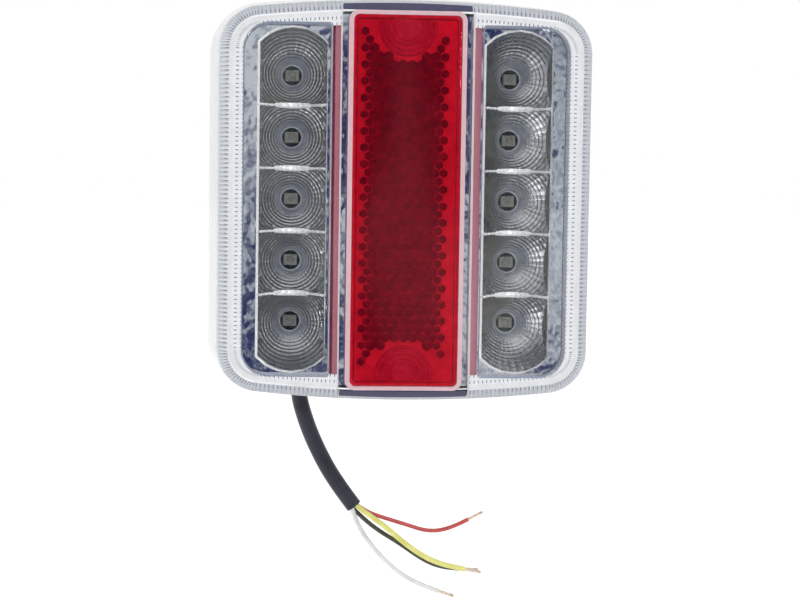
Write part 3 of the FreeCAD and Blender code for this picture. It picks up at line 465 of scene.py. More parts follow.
# The same rows across the channel, where they carry no flutes and end at the channel's floor.
CHANNEL_ROWS = (
    (LENS_BACK, 0), (12, 0.95), (22, 2.0), (31.0, 2.98), (31.12, 3.05), (31.3, 3.2), (31.8, 3.65),
    (33.0, 4.95), (CHANNEL_DEPTH, 5.25), (CHANNEL_DEPTH, 5.6), (CHANNEL_DEPTH, 7.0), (CHANNEL_DEPTH, 7.1),
    (CHANNEL_DEPTH, 7.6), (CHANNEL_DEPTH, 7.7), (CHANNEL_DEPTH, 8.5), (CHANNEL_DEPTH, 8.6), (LENS_FRONT, 9.1),
)
WALL_ROWS = range(0, 4)
BEVEL_ROWS = range(4, 9)
# Rows whose groove facets are painted dark, a painted shade: the bevel's foot, a dotted line and the serrated
# edge.
TICK_ROWS = (6, 7, 10, 11, 12, 14, 15)
CHANNEL_LIP_ROWS = (4, 5)
CLEAR, FROSTED, SHADOW_LINE, WALL, BEVEL, FAINT_SHADE, RED_GLOW, SHADE, FRAME, LINE = range(10)
WINDOW_ACROSS = 29.48
WINDOW_HALF_WIDTH, WINDOW_HALF_HEIGHT = 10.6, 43
WINDOW_RIM_CORNER, WINDOW_INNER_CORNER = 6, 0.7
WINDOW_RECESS, WINDOW_SLOPE = 0.4, 0.75
# The ribs beside the windows: half width, place across and material. Two carry a painted pink glow of the red
# reflector, and one a thin dark red line.
RIBS = ((0.7, -17.0, RED_GLOW), (0.28, -18.1, LINE), (0.9, 17.45, RED_GLOW))
RIB_DEPTHS = (30.6, 32.2)
# Outlines: half width, half height and corner radius, and a depth for those of the seat's frame.
SEAT_FRAME = (
    (14.6, 46.9, 2.4, CHANNEL_DEPTH - 0.6), (14.6, 46.9, 2.4, LENS_FRONT - 0.25),
    (14.52, 46.82, 2.3, LENS_FRONT - 0.08), (14.35, 46.65, 2.15, LENS_FRONT),
)
SEAT, SEAT_BACK = (13.4, 45.85, 1.35), LENS_FRONT - 1.6
OPENING, OPENING_BACK = (12.4, 44.85, 0.6), 30
CHANNEL_FLOOR = (CHANNEL_HALF, 46.9, 0.01)
CHANNEL_TOP = (CHANNEL_HALF + CHANNEL_SLOPE, 46.9, 0.01)
# The cover's materials: name, tint, roughness, share of frost and its colour. They are copies of one clear
# acrylic whose frost colours are set lighter or darker to paint light and shade: grey on the wall and bevel,
# darker in the grooves, dark in the channel, pink beside the red reflector.
COVER_LOOKS = (
    ("clear_acrylic", (0.985, 0.99, 0.99), (0.0, 0.02)),
    ("rim_acrylic", (0.98, 0.985, 0.99), (0.05, 0.12), 0.75, (0.76, 0.77, 0.79)),
    ("groove_acrylic", (0.7, 0.73, 0.8), (0.03, 0.1), 0.6, (0.2, 0.23, 0.32)),
    # The wall and the bevel take greyer frost than the rim: painted shade.
    ("wall_acrylic", (0.96, 0.975, 0.98), (0.05, 0.12), 0.5, (0.72, 0.73, 0.76)),
    ("bevel_acrylic", (0.92, 0.94, 0.955), (0.05, 0.12), 0.65, (0.56, 0.59, 0.64)),
    ("faint_acrylic", (0.9, 0.92, 0.94), (0.05, 0.12), 0.65, (0.45, 0.48, 0.53)),
    ("pink_acrylic", (0.95, 0.66, 0.72), (0.05, 0.12), 0.8, (0.66, 0.31, 0.37)),
    # Dark navy, nearly opaque: painted shade of the dark chamber behind the channel.
    ("shade_acrylic", (0.3, 0.32, 0.5), (0.02, 0.08), 0.92, (0.03, 0.03, 0.08)),
    ("frame_acrylic", (0.96, 0.82, 0.85), (0.05, 0.12), 0.85, (0.62, 0.41, 0.45)),
    ("line_acrylic", (0.8, 0.4, 0.45), (0.05, 0.12), 0.85, (0.3, 0.04, 0.07)),
)


def outline_stations(count):
    """Evenly spaced points round the cover's back edge, each with the direction outwards."""
    across = LENS_HALF_WIDTH - LENS_CORNER
    bow_middle = LENS_HALF_HEIGHT - LENS_BOW
    up = bow_middle + math.sqrt((LENS_BOW - LENS_CORNER) ** 2 - across**2)
    meet = math.atan2(up - bow_middle, across)
    half = math.pi
    arcs = (
        ((across, up), LENS_CORNER, 0, meet),
        ((0, bow_middle), LENS_BOW, meet, half - meet),
        ((-across, up), LENS_CORNER, half - meet, half),
        ((-LENS_HALF_WIDTH, 0), None, up, -up),
        ((-across, -up), LENS_CORNER, half, half + meet),
        ((0, -bow_middle), LENS_BOW, half + meet, 2 * half - meet),
        ((across, -up), LENS_CORNER, -meet, 0),
        ((LENS_HALF_WIDTH, 0), None, -up, up),
    )
    lengths = [abs(end - start) * (radius or 1) for _, radius, start, end in arcs]
    stations = []
    for index in range(count):
        walked = sum(lengths) * index / count
        piece = 0
        while walked > lengths[piece]:
            walked -= lengths[piece]
            piece += 1
        (x, z), radius, start, end = arcs[piece]
        value = start + (end - start) * walked / lengths[piece]
        if radius:
            outward = Vector((math.cos(value), math.sin(value)))
            stations.append((Vector((x, z)) + radius * outward, outward))
        else:
            stations.append((Vector((x, value)), Vector((math.copysign(1, x), 0))))
    return stations


def outline_ring(stations, depth, inset, inwards=0, down=0, channel=None):
    """The cover's outline moved inwards, with flutes. channel is its depth and inset across the channel."""
    points = []
    for index, (point, outward) in enumerate(stations):
        if channel and abs(point.x) < CHANNEL_HALF:
            x, z = point - outward * channel[1]
            points.append(place(x, channel[0], z))
            continue
        flute = FLUTE_POINTS[index % 4] * min(max((abs(point.x) - CHANNEL_HALF) / FLUTE_FADE, 0), 1)
        x, z = point - outward * (inset + inwards * flute)
        points.append(place(x, depth - down * flute, z))
    return points


def paint_cover(row, column, across):
    """Which material a face of the cover gets, from its row in COVER_ROWS. Groove facets get painted shade,
    and the channel's ends a dark painted shade.
    """
    if row < 0:
        return CLEAR
    if row in WALL_ROWS:
        return WALL
    # Across the channel, the lip rows are pale and the rest takes the dark painted shade.
    if abs(across) < CHANNEL_HALF:
        return BEVEL if row in CHANNEL_LIP_ROWS else SHADE
    grooved = column % 4 == 1
    # Groove facets get painted shade: the darkest in the tick rows, a fainter one elsewhere on the bevel.
    if grooved and row in TICK_ROWS:
        return SHADOW_LINE
    if row in BEVEL_ROWS:
        return FAINT_SHADE if grooved else BEVEL
    return FROSTED


def window_cutter(side):
    """What a window's recess takes away: sloped towards the rim, square towards the red reflector. The walls
    that it leaves on the cover are painted dark, a painted shade line round the window.
    """
    layers = []
    for grow, above in ((0, -WINDOW_RECESS), (WINDOW_SLOPE, 0.05), (WINDOW_SLOPE, PAST)):
        outer, inner = WINDOW_RIM_CORNER + grow, WINDOW_INNER_CORNER
        corners = (outer, inner, inner, outer) if side > 0 else (inner, outer, outer, inner)
        outline = rounded_box(WINDOW_HALF_WIDTH + grow / 2, WINDOW_HALF_HEIGHT + grow, corners)
        layers.append((outline, LENS_FRONT + above))
    return stack("window_cutter", layers, (side * WINDOW_ACROSS, 0), SHADOW_LINE)


def make_cover():
    """The clear cover, with fluted rim, windows, channel, raised frame, seat and ribs."""
    stations = outline_stations(4 * FLUTES)
    rings = [outline_ring(stations, *row) for row in INNER_ROWS]
    rings += [outline_ring(stations, *row, across) for row, across in zip(COVER_ROWS, CHANNEL_ROWS)]

    def paint(row, column):
        return paint_cover(row - len(INNER_ROWS), column, stations[column][0].x)

    cover = ringed("clear_cover", rings, paint=paint)
    channel = box_stack("channel", (
        (*CHANNEL_FLOOR, CHANNEL_DEPTH - 0.01), (*CHANNEL_TOP, LENS_FRONT), (*CHANNEL_TOP, LENS_FRONT + PAST),
    ), 1, FROSTED)
    combine(cover, channel, "DIFFERENCE")
    for side in SIDES:
        combine(cover, window_cutter(side), "DIFFERENCE")
    # The seat's frame takes a pale pink: painted glow of the red reflector.
    combine(cover, dyed(box_stack("seat_frame", SEAT_FRAME), FRAME), "UNION")
    for outline, back in ((SEAT, SEAT_BACK), (OPENING, OPENING_BACK)):
        hole = box_stack("hole", ((*outline, back), (*outline, LENS_FRONT + PAST)))
        combine(cover, hole, "DIFFERENCE")
    for half_width, across, slot in RIBS:
        outline = rounded_box(half_width, WINDOW_HALF_HEIGHT, (0.15,) * 4, 3)
        rib = stack("rib", [(outline, depth) for depth in RIB_DEPTHS], (across, 0))
        combine(cover, dyed(rib, slot), "UNION")
    smooth(cover.data, 25)
    settle(cover, [see_through(*look) for look in COVER_LOOKS], "clear_plastic", "outer_lens")


# The red reflector: a clear red front over a relief of pins and rings.

RED_HALF_WIDTH, RED_HALF_HEIGHT, RED_CORNER = 13.35, 45.8, 1.5
PIN_LEFT, PIN_TOP = -10.5, 41.8
PIN_PITCH = 2.33
PIN_ROWS, PIN_COLUMNS = 42, 9
PIN_REACH = 1.325
EDGE_PIN_REACH = 1.08
PIN_ROOT, PIN_TIP = -0.1, 0.06
PIN_LOW, PIN_HIGH = 0.22, 0.4
RIDGES = (3.0, 4.2, 5.4, 6.7)
RIDGE_FOOT, RIDGE_TOP = 0.4, 0.1
RIDGE_LOW, RIDGE_HIGH = 0.04, 0.4
ZONE_EDGE = 7.3
ZONE_STEPS = 96
RING_MIDDLE = 42.9
RING_CLEAR = (9.75, 8.2)
RELIEF_FLOOR = 31.4
RELIEF_FACE = 32.2
FLANGE_BACK, FLANGE_FRONT = 32.42, 32.6
# Outlines: half width, half height and corner radius.
TRAY = (12.3, 44.75, 0.6)
FLANGE = (RED_HALF_WIDTH - 0.02, RED_HALF_HEIGHT - 0.02, RED_CORNER)
POCKET_FLOOR, POCKET_TOP = (12.2, 44.65, 0.6), (12.8, 45.25, 1.0)
ZONE_LIMIT, ZONE_DEPTHS = (12, 44.4, 0.5), (31, 33)
# The clear red plate's outlines: how far each is drawn in, and its depth.
PLATE_ROWS = (
    (0.05, FLANGE_FRONT + 0.02), (0, FLANGE_FRONT + 0.1), (0, 33.7), (0.08, 33.89),
    (0.25, LENS_FRONT - 0.03), (0.5, LENS_FRONT),
)
PLATE_STEPS = 8
RED_MIRRORED = (0.9, 0.3, 0.35, 1)


def pin_places():
    """The middles and the reach of the pins: a hexagonal pattern that leaves the ringed zones free."""
    for row in range(PIN_ROWS):
        up = PIN_TOP * (1 - 2 * row / (PIN_ROWS - 1))
        for column in range(PIN_COLUMNS):
            across = PIN_LEFT + PIN_PITCH * (column + row % 2 / 2)
            if math.hypot(across / RING_CLEAR[0], (RING_MIDDLE - abs(up)) / RING_CLEAR[1]) > 1:
                yield across, up, EDGE_PIN_REACH if column in (0, PIN_COLUMNS - 1) else PIN_REACH


def add_pin(build, across, up, reach):
    """A hexagonal pin with a corner of three facets for its tip."""
    def hexagon(low, high):
        return [
            place(across + reach * math.sin(TURN * corner / 6), (low, high)[corner % 2],
                  up + reach * math.cos(TURN * corner / 6))
            for corner in range(6)
        ]
    root = RELIEF_FACE + PIN_ROOT
    base = [build.verts.new(point) for point in hexagon(root, root)]
    rim = [build.verts.new(point) for point in hexagon(RELIEF_FACE + PIN_LOW, RELIEF_FACE + PIN_HIGH)]
    tip = build.verts.new(place(across, RELIEF_FACE + PIN_TIP, up))
    faces = [build.faces.new(base)]
    for corner in range(6):
        after = (corner + 1) % 6
        faces.append(build.faces.new((base[corner], base[after], rim[after], rim[corner])))
    for corner in (0, 2, 4):
        faces.append(build.faces.new((rim[corner - 1], rim[corner], rim[corner + 1], tip)))
    for face in faces:
        face.material_index = 1


def add_ring_zone(build, level):
    """Concentric ridges round one end of the relief."""
    profile = [(0.01, 0.1)]
    for ridge in RIDGES:
        profile += [(ridge - RIDGE_FOOT, RIDGE_LOW), (ridge - RIDGE_TOP, RIDGE_HIGH),
                    (ridge + RIDGE_TOP, RIDGE_HIGH), (ridge + RIDGE_FOOT, RIDGE_LOW)]
    profile += [(ZONE_EDGE, RIDGE_LOW), (ZONE_EDGE, PIN_ROOT)]
    middle = level * RING_MIDDLE
    rings = [circle(0, middle, radius, RELIEF_FACE + height, ZONE_STEPS) for radius, height in profile]
    add_rings(build, rings, paint=2)


def make_red_relief():
    """The back of the red reflector: a tray with a flange, which holds the relief. The pins take a darker,
    metallic copy of the red: the metallic sheen reflects the room, and the darker colour is painted shade.
    """
    relief = box_stack("red_relief", (
        (*TRAY, RELIEF_FLOOR), (*TRAY, FLANGE_BACK), (*FLANGE, FLANGE_BACK), (*FLANGE, FLANGE_FRONT),
    ))
    pocket = box_stack("pocket", ((*POCKET_FLOOR, RELIEF_FACE), (*POCKET_TOP, FLANGE_FRONT + 0.1)))
    combine(relief, pocket, "DIFFERENCE")
    build = bmesh.new()
    for level in SIDES:
        add_ring_zone(build, level)
    zones = add_piece("ring_zones", finished_mesh("ring_zones", build))
    limit = box_stack("zone_limit", [(*ZONE_LIMIT, depth) for depth in ZONE_DEPTHS])
    combine(zones, limit, "INTERSECT")
    combine(relief, zones, "UNION")
    build = bmesh.new()
    for across, up, reach in pin_places():
        add_pin(build, across, up, reach)
    combine(relief, add_piece("pins", finished_mesh("pins", build)), "UNION")
    smooth(relief.data, 20)
    settle(relief, [
        textured("red_back", (0.5, 0.045, 0.07), (0.64, 0.06, 0.1), (0.25, 0.4), 3, 0.5, 0.004),
        textured("red_pins_shaded", (0.2, 0.03, 0.05), (0.32, 0.05, 0.07), (0.12, 0.25),
                 2, 0.6, 0.004, Metallic=0.6),
        textured("red_rings", (0.52, 0.07, 0.13), (0.64, 0.1, 0.19), (0.1, 0.2), 2, 0.6, 0.004, Metallic=0.3),
    ], "red_plastic", "red_reflector")


def make_red_front():
    """The front of the red reflector: a clear red plate with a rounded edge."""
    plate = box_stack("red_front", [
        (RED_HALF_WIDTH - inset, RED_HALF_HEIGHT - inset, RED_CORNER - inset / 2, depth)
        for inset, depth in PLATE_ROWS
    ], PLATE_STEPS)
    smooth(plate.data, 50)
    clear_red = see_through("red_acrylic", (0.9, 0.28, 0.4), (0.0, 0.03))
    set_inputs(clear_red.node_tree.nodes["Principled BSDF"], Specular_Tint=RED_MIRRORED)
    settle(plate, [clear_red], "red_plastic")


# The chrome reflector.

STRIP_OFFSET = 28.0
LED_PITCH = 15.7
LED_ROWS = (-2, -1, 0, 1, 2)
CUP_HALF_WIDTH = 8.14
ARCH_REACH = 11.0
ARCH_FACETS = 6
CUP_HOLE = 2.45
CUP_BOTTOM = 12.3
BOWL_BACK, BOWL_PAST = 11.0, 1.2
PLATE_FRONT = 30.5
CUP_RISE = (PLATE_FRONT - CUP_BOTTOM) / (ARCH_REACH**2 - CUP_HOLE**2)
CUP_BANDS = 13
CUP_SECTORS = 36
BAND_CREST = 0.022
BAND_FLANK = 0.14
HOLE_EDGE = 0.3
CUP_GROW = 0.12
EDGE_WIDTH = 0.5
EDGE_SHIFT = 0.2
EDGE_DEEP = 0.45
ARCH_MARGIN, ARCH_BACK = 0.1, 10.0
CREST_STEPS, CREST_SIDES = 28, 10
CREST_SWELL, CREST_SWELL_REACH = 0.45, 4.6
CREST_RADIUS, CREST_UNEVEN = 0.24, 0.12
CREST_SUNK, CREST_RISE = 0.15, 0.1


def bowl_depth(radius):
    """How deep the bowl's face lies at a radius."""
    return CUP_BOTTOM + CUP_RISE * (radius**2 - CUP_HOLE**2)


def bowl_point(radius, lift):
    """A point of the bowl's profile, lifted off its face, as radius and depth."""
    slope = math.atan(2 * CUP_RISE * radius)
    off = lift - CUP_GROW
    return radius - off * math.sin(slope), bowl_depth(radius) + off * math.cos(slope)


def faceted_bowl(up, across):
    """What one cup takes up: bands of small facets, with a narrow crest between them. The ring at the hole's
    rim takes the whiter edge material, a painted highlight.
    """
    outer = ARCH_REACH + BOWL_PAST
    step = (outer - CUP_HOLE) / CUP_BANDS
    profile = [(CUP_HOLE, BOWL_BACK), (CUP_HOLE, CUP_BOTTOM - 0.2)]
    for band in range(CUP_BANDS):
        radius = CUP_HOLE + (step * band or HOLE_EDGE)
        flank = BAND_FLANK * math.cos(math.atan(2 * CUP_RISE * radius))
        profile += [bowl_point(radius, BAND_CREST), bowl_point(radius + flank, 0),
                    bowl_point(CUP_HOLE + step * (band + 1) - flank, 0)]
    profile.append(bowl_point(outer, 0))
    rings = [circle(across, up, CUP_HOLE / 2, BOWL_BACK, CUP_SECTORS)]
    rings += [circle(across, up, radius, depth, CUP_SECTORS, 0.5) for radius, depth in profile]
    return ringed("bowl", rings, paint=lambda row, column: 2 if row == 2 else 1)


def arch_points(margin):
    """A strip's opening: straight sides and faceted round ends, about its own middle."""
    half_width = CUP_HALF_WIDTH + margin
    reach = ARCH_REACH + margin
    spread = math.asin(half_width / reach)
    points = []
    for end in SIDES:
        for facet in range(ARCH_FACETS + 1):
            turn = spread * (1 - 2 * facet / ARCH_FACETS)
            level = LED_ROWS[-1] * LED_PITCH + reach * math.cos(turn)
            points.append((-end * reach * math.sin(turn), end * level))
    return points


def strip_cutter(side):
    """The cavity of one strip of cups: five bowls within the opening, which is chamfered at the front. The
    chamfer takes the whiter edge material, a painted highlight.
    """
    across = side * STRIP_OFFSET
    cutter = faceted_bowl(LED_ROWS[0] * LED_PITCH, across)
    for row in LED_ROWS[1:]:
        combine(cutter, faceted_bowl(row * LED_PITCH, across), "UNION")
    narrow = arch_points(ARCH_MARGIN)
    wide = [(x - EDGE_SHIFT, z) for x, z in arch_points(ARCH_MARGIN + EDGE_WIDTH)]
    limit = stack("arch", ((narrow, ARCH_BACK), (narrow, PLATE_FRONT + PAST)), (across, 0), 1)
    combine(cutter, limit, "INTERSECT")
    combine(cutter, stack("edge", (
        (narrow, PLATE_FRONT - EDGE_DEEP), (wide, PLATE_FRONT + 0.05), (wide, PLATE_FRONT + PAST),
    ), (across, 0), 2), "UNION")
    return cutter


def make_ridge(across, up):
    """The rounded crest between two cups, thicker in its middle. It takes a near-white material, a painted
    highlight.
    """
    rings = []
    for step in range(CREST_STEPS + 1):
        x = CUP_HALF_WIDTH * (2 * step / CREST_STEPS - 1)
        swell = max(0, 1 - (x / CREST_SWELL_REACH) ** 2)
        radius = CREST_RADIUS + CREST_UNEVEN * (step % 2) + CREST_SWELL * swell**0.4
        depth = bowl_depth(math.hypot(x, LED_PITCH / 2)) - CREST_SUNK + CREST_RISE * swell
        turns = [TURN * (corner + 0.5) / CREST_SIDES for corner in range(CREST_SIDES)]
        rings.append([place(across + x, depth + radius * math.sin(turn), up + radius * math.cos(turn))
                      for turn in turns])
    return ringed("ridge", rings, paint=3)


def make_chrome():
    """The metallised reflector. It is one coating in four copies: the plate as it is, the cups darker as
    painted shade, and the edges and crests whiter as painted highlights.
    """
    chrome = welded_copy("chrome_reflector", "chrome_bezel")
    for side in SIDES:
        combine(chrome, strip_cutter(side), "DIFFERENCE")
        for row in LED_ROWS[1:]:
            combine(chrome, make_ridge(side * STRIP_OFFSET, (row - 0.5) * LED_PITCH), "UNION")
    smooth(chrome.data, 6)
    settle(chrome, [
        textured("chrome_plate", (0.78, 0.8, 0.84), (0.88, 0.89, 0.92), (0.03, 0.07),
                 5, 5, 0.12, Metallic=1.0),
        textured("chrome_cups_shaded", (0.56, 0.57, 0.57), (0.68, 0.68, 0.7), (0.12, 0.2),
                 3, 2, 0.01, Metallic=1.0),
        textured("chrome_edge_highlight", (0.93, 0.94, 0.95), (0.97, 0.97, 0.98), (0.15, 0.25),
                 3, 2, 0.005, Metallic=0.9),
        textured("chrome_crest_highlight", (0.95, 0.96, 0.97), (0.99, 0.99, 1.0), (0.2, 0.35),
                 3, 1, 0.02, Metallic=0.2),
    ], "metallised_plastic", "chrome_reflector")


# LEDs.

LED_HALF_WIDTH, LED_HALF_HEIGHT, LED_CORNER = 1.75, 1.4, 0.18
LED_STEPS = 8
LED_CUP = ((1.14, 0), (1.02, 0.12), (0.8, 0.3), (0.3, 0.27))
LED_RESIN_ROW = 6


def add_led(build, across, up, back, front):
    """One package: a case with bevelled sides and a round cup, filled with resin."""
    def square(inset, depth):
        half_width, half_height = LED_HALF_WIDTH - inset, LED_HALF_HEIGHT - inset
        points = rounded_box(half_width, half_height, (LED_CORNER,) * 4, LED_STEPS - 1)
        return [place(across + x, depth, up + z) for x, z in points]

    rings = [square(0.08, back), square(0, back + 0.1), square(0.02, front - 0.12), square(0.1, front)]
    rings += [circle(across, up, radius, front - sunk, 4 * LED_STEPS, 0.5) for radius, sunk in LED_CUP]
    add_rings(build, rings, paint=lambda row, column: 1 if row >= LED_RESIN_ROW else 0)
    for face in build.faces[-1:]:
        face.material_index = 1


def make_leds(node, places):
    """The LEDs of one node, as one piece."""
    _, (back, front), _ = sizes_of(node)
    build = bmesh.new()
    for across, up in places:
        add_led(build, across, up, back, front)
    mesh = finished_mesh(f"{node}_packages", build)
    smooth(mesh, 40)
    settle(add_piece(f"{node}_packages", mesh), led_materials, "led_case", node)


def make_all_leds():
    """Both rows and the two behind the red reflector."""
    for side, node in zip(SIDES, ("leds_left", "leds_right")):
        make_leds(node, [(side * STRIP_OFFSET, row * LED_PITCH) for row in LED_ROWS])
    make_leds("leds_tail", [(0, level * RING_MIDDLE) for level in SIDES])


# Hardware behind the lamp. Here "out" runs backwards, along +Y, from the mounting face.

STUD_X = 22.5
THREAD_PITCH = 0.8
THREAD_MINOR, THREAD_MAJOR = 2.03, 2.46
THREAD_FLAT, THREAD_FLANK = 0.2, 0.6
THREAD_START, STUD_REACH = 3.0, 22.0
THREAD_STEPS = 8
RUNOUT_RADIUS, RUNOUT_SLOPE = 2.3, 0.6
STUD_TIP = 1.62
HEX_FLATS = 8.0
# A bolt's head: distance out and how far inside the hexagon. Then its shank: distance out and radius.
HEAD_ROWS = ((-6.7, 0.3), (-6.5, 0.0), (-3.2, 0.0))
SHANK_ROWS = ((-3.2, 3.0), (0.0, 3.0), (0.0, 2.5), (2.9, 2.5), (3.0, RUNOUT_RADIUS))
STUD_SAMPLES, NUT_SAMPLES, WASHER_SAMPLES = 48, 96, 72
NUT_STEPS = 24
NUT_PLAY = 0.04
NUT_FACE, NUT_FACE_SLOPE = 3.75, 1.6
NUT_MOUTH, NUT_MOUTH_SLOPE = 2.75, 1.1
SPRING_THICK = 1.0
SPRING_RADIUS, SPRING_HALF_GAP = 3.3, 0.45


def thread_radius(out, turn, grow=0.0):
    """Radius of a right-hand thread: flat crests and roots joined by straight flanks."""
    phase = (out / THREAD_PITCH + turn / TURN) % 1
    height = min(max((abs(phase - 0.5) * 2 - THREAD_FLAT) / THREAD_FLANK, 0), 1)
    return THREAD_MAJOR + (THREAD_MINOR - THREAD_MAJOR) * height + grow


def hexagon_radius(turn):
    """Distance from the middle to a hexagon's side, with a flat at the top."""
    return HEX_FLATS / 2 / math.cos((turn - TURN / 6) % (TURN / 6) - TURN / 12)


def lathe_ring(across, out, radius_at, samples):
    """A ring round a stud's axis. radius_at gives the radius at each angle."""
    turns = [TURN * sample / samples for sample in range(samples)]
    return [place(across + radius_at(turn) * math.cos(turn), -out, radius_at(turn) * math.sin(turn))
            for turn in turns]


def make_stud(across):
    """A bolt: hexagonal head, collar, shank, real thread and chamfered tip."""
    rows = [(out, lambda turn, inset=inset: hexagon_radius(turn) - inset) for out, inset in HEAD_ROWS]
    rows += [(out, lambda turn, radius=radius: radius) for out, radius in SHANK_ROWS]
    count = int((STUD_REACH - THREAD_START) / (THREAD_PITCH / THREAD_STEPS))
    for step in range(1, count + 1):
        out = THREAD_START + (STUD_REACH - THREAD_START) * step / count
        limit = min(RUNOUT_RADIUS + (out - THREAD_START) * RUNOUT_SLOPE, STUD_TIP + (STUD_REACH - out))
        rows.append((out, lambda turn, out=out, limit=limit: min(thread_radius(out, turn), limit)))
    return [lathe_ring(across, out, radius_at, STUD_SAMPLES) for out, radius_at in rows]


def make_studs():
    """Both studs, as one piece."""
    build = bmesh.new()
    for side in SIDES:
        add_rings(build, make_stud(side * STUD_X))
    mesh = finished_mesh("threaded_studs", build)
    smooth(mesh, 35)
    settle(add_piece("threaded_studs", mesh), [zinc], "zinc_steel", "stud_bolts")


def make_nut(name, across):
    """A chamfered hexagonal nut with a real thread."""
    _, (front, back), _ = sizes_of(name)
    start, end = -back, -front
    rows = []
    for step in range(NUT_STEPS + 1):
        out = start + (end - start) * step / NUT_STEPS
        limit = NUT_FACE + min(out - start, end - out) * NUT_FACE_SLOPE
        rows.append((out, lambda turn, limit=limit: min(hexagon_radius(turn), limit)))
    turns = int((end - start) / (THREAD_PITCH / THREAD_STEPS))
    for step in range(turns + 1):
        out = end + (start - end) * step / turns
        least = NUT_MOUTH - min(out - start, end - out) * NUT_MOUTH_SLOPE
        rows.append((out, lambda turn, out=out, least=least: max(thread_radius(out, turn, NUT_PLAY), least)))
    rings = [lathe_ring(across, out, radius_at, NUT_SAMPLES) for out, radius_at in rows]
    nut = ringed(f"{name}_threaded", rings, looped=True)
    smooth(nut.data, 25)
    return nut


def make_flat_washer(name, across):
    """A stamped washer: one edge rounded, the other sharp."""
    _, (front, back), _ = sizes_of(name)
    start, end = -back, -front
    profile = ((2.65, start + 0.1), (2.75, start), (4.8, start), (5.0, start + 0.2), (5.0, end - 0.06),
               (4.94, end), (2.7, end), (2.65, end - 0.05))
    rings = [circle(across, 0, radius, -out, WASHER_SAMPLES) for radius, out in profile]
    washer = ringed(f"{name}_stamped", rings, looped=True)
    smooth(washer.data, 30)
    return washer


def make_spring_washer(name, across):
    """A split washer: a square wire wound in a short helix."""
    _, (front, back), _ = sizes_of(name)
    start, end = -back, -front
    split = math.asin(SPRING_HALF_GAP / SPRING_RADIUS)
    rings = []
    for step in range(WASHER_SAMPLES + 1):
        turn = split + (TURN - 2 * split) * step / WASHER_SAMPLES
        low = start + (end - start - SPRING_THICK) * step / WASHER_SAMPLES
        high = low + SPRING_THICK
        corners = ((2.65, low + 0.1), (2.75, low), (3.95, low), (4.05, low + 0.1),
                   (4.05, high - 0.1), (3.95, high), (2.75, high), (2.65, high - 0.1))
        rings.append([
            place(across + radius * math.cos(turn), -out, radius * math.sin(turn)) for radius, out in corners
        ])
    washer = ringed(f"{name}_split", rings)
    smooth(washer.data, 40)
    return washer


def make_hardware():
    """Washers and nuts on both studs."""
    for side, name in zip(SIDES, ("left", "right")):
        across = side * STUD_X
        flat = make_flat_washer(f"flat_washer_{name}", across)
        settle(flat, [zinc], "zinc_steel", f"flat_washer_{name}", body=f"{name}_washers")
        spring = make_spring_washer(f"spring_washer_{name}", across)
        settle(spring, [dark_zinc], "zinc_steel", f"spring_washer_{name}", body=f"{name}_washers")
        nut = make_nut(f"nut_{name}", across)
        settle(nut, [zinc], "zinc_steel", f"nut_{name}", body=f"{name}_nut")


# The cable's elbow: a flanged rubber sleeve that turns from straight back to straight down.

ELBOW_X, ELBOW_Z = -25.3, -36.0
ELBOW_OUT, ELBOW_TURN, ELBOW_TAIL = 5.2, 4.8, 5.0
ELBOW_BORE, ELBOW_RADIUS = 2.17, 3.5
ELBOW_STEPS, ELBOW_SIDES = 12, 40
# The two flanges: how far inside the mounting face, and radius.
ELBOW_FLANGES = (
    (4, ELBOW_BORE), (4, 4.8), (3.8, 5.0), (3.1, 5.0), (3.0, 4.9), (3.0, ELBOW_RADIUS), (1, ELBOW_RADIUS),
    (1, 4.9), (0.9, 5.0), (0.15, 5.0), (0, 4.8), (0, 3.8),
)
# The tail's grooves. One's rows are distance along and depth.
GROOVES, GROOVE_START, GROOVE_PITCH = 3, 0.7, 1.3
GROOVE_RADIUS, GROOVE_TAPER = 3.45, 0.2
GROOVE_ROWS = ((-0.1, 0), (0, 0.35), (0.5, 0.4), (0.6, 0.08))


def elbow_ring(along, radius):
    """A ring at a distance along the sleeve's middle, measured from the start of the bend."""
    bend = ELBOW_TURN * math.pi / 2
    start_out = ELBOW_OUT - ELBOW_TURN
    if along <= 0:
        middle, angle = (start_out + along, 0.0), 0.0
    elif along < bend:
        angle = along / ELBOW_TURN
        middle = (start_out + ELBOW_TURN * math.sin(angle), ELBOW_TURN * (math.cos(angle) - 1))
    else:
        angle = math.pi / 2
        middle = (ELBOW_OUT, -ELBOW_TURN - (along - bend))
    ring = []
    for step in range(ELBOW_SIDES):
        turn = TURN * step / ELBOW_SIDES
        rise = radius * math.sin(turn)
        ring.append(place(ELBOW_X + radius * math.cos(turn), -(middle[0] + rise * math.sin(angle)),
                          ELBOW_Z + middle[1] + rise * math.cos(angle)))
    return ring


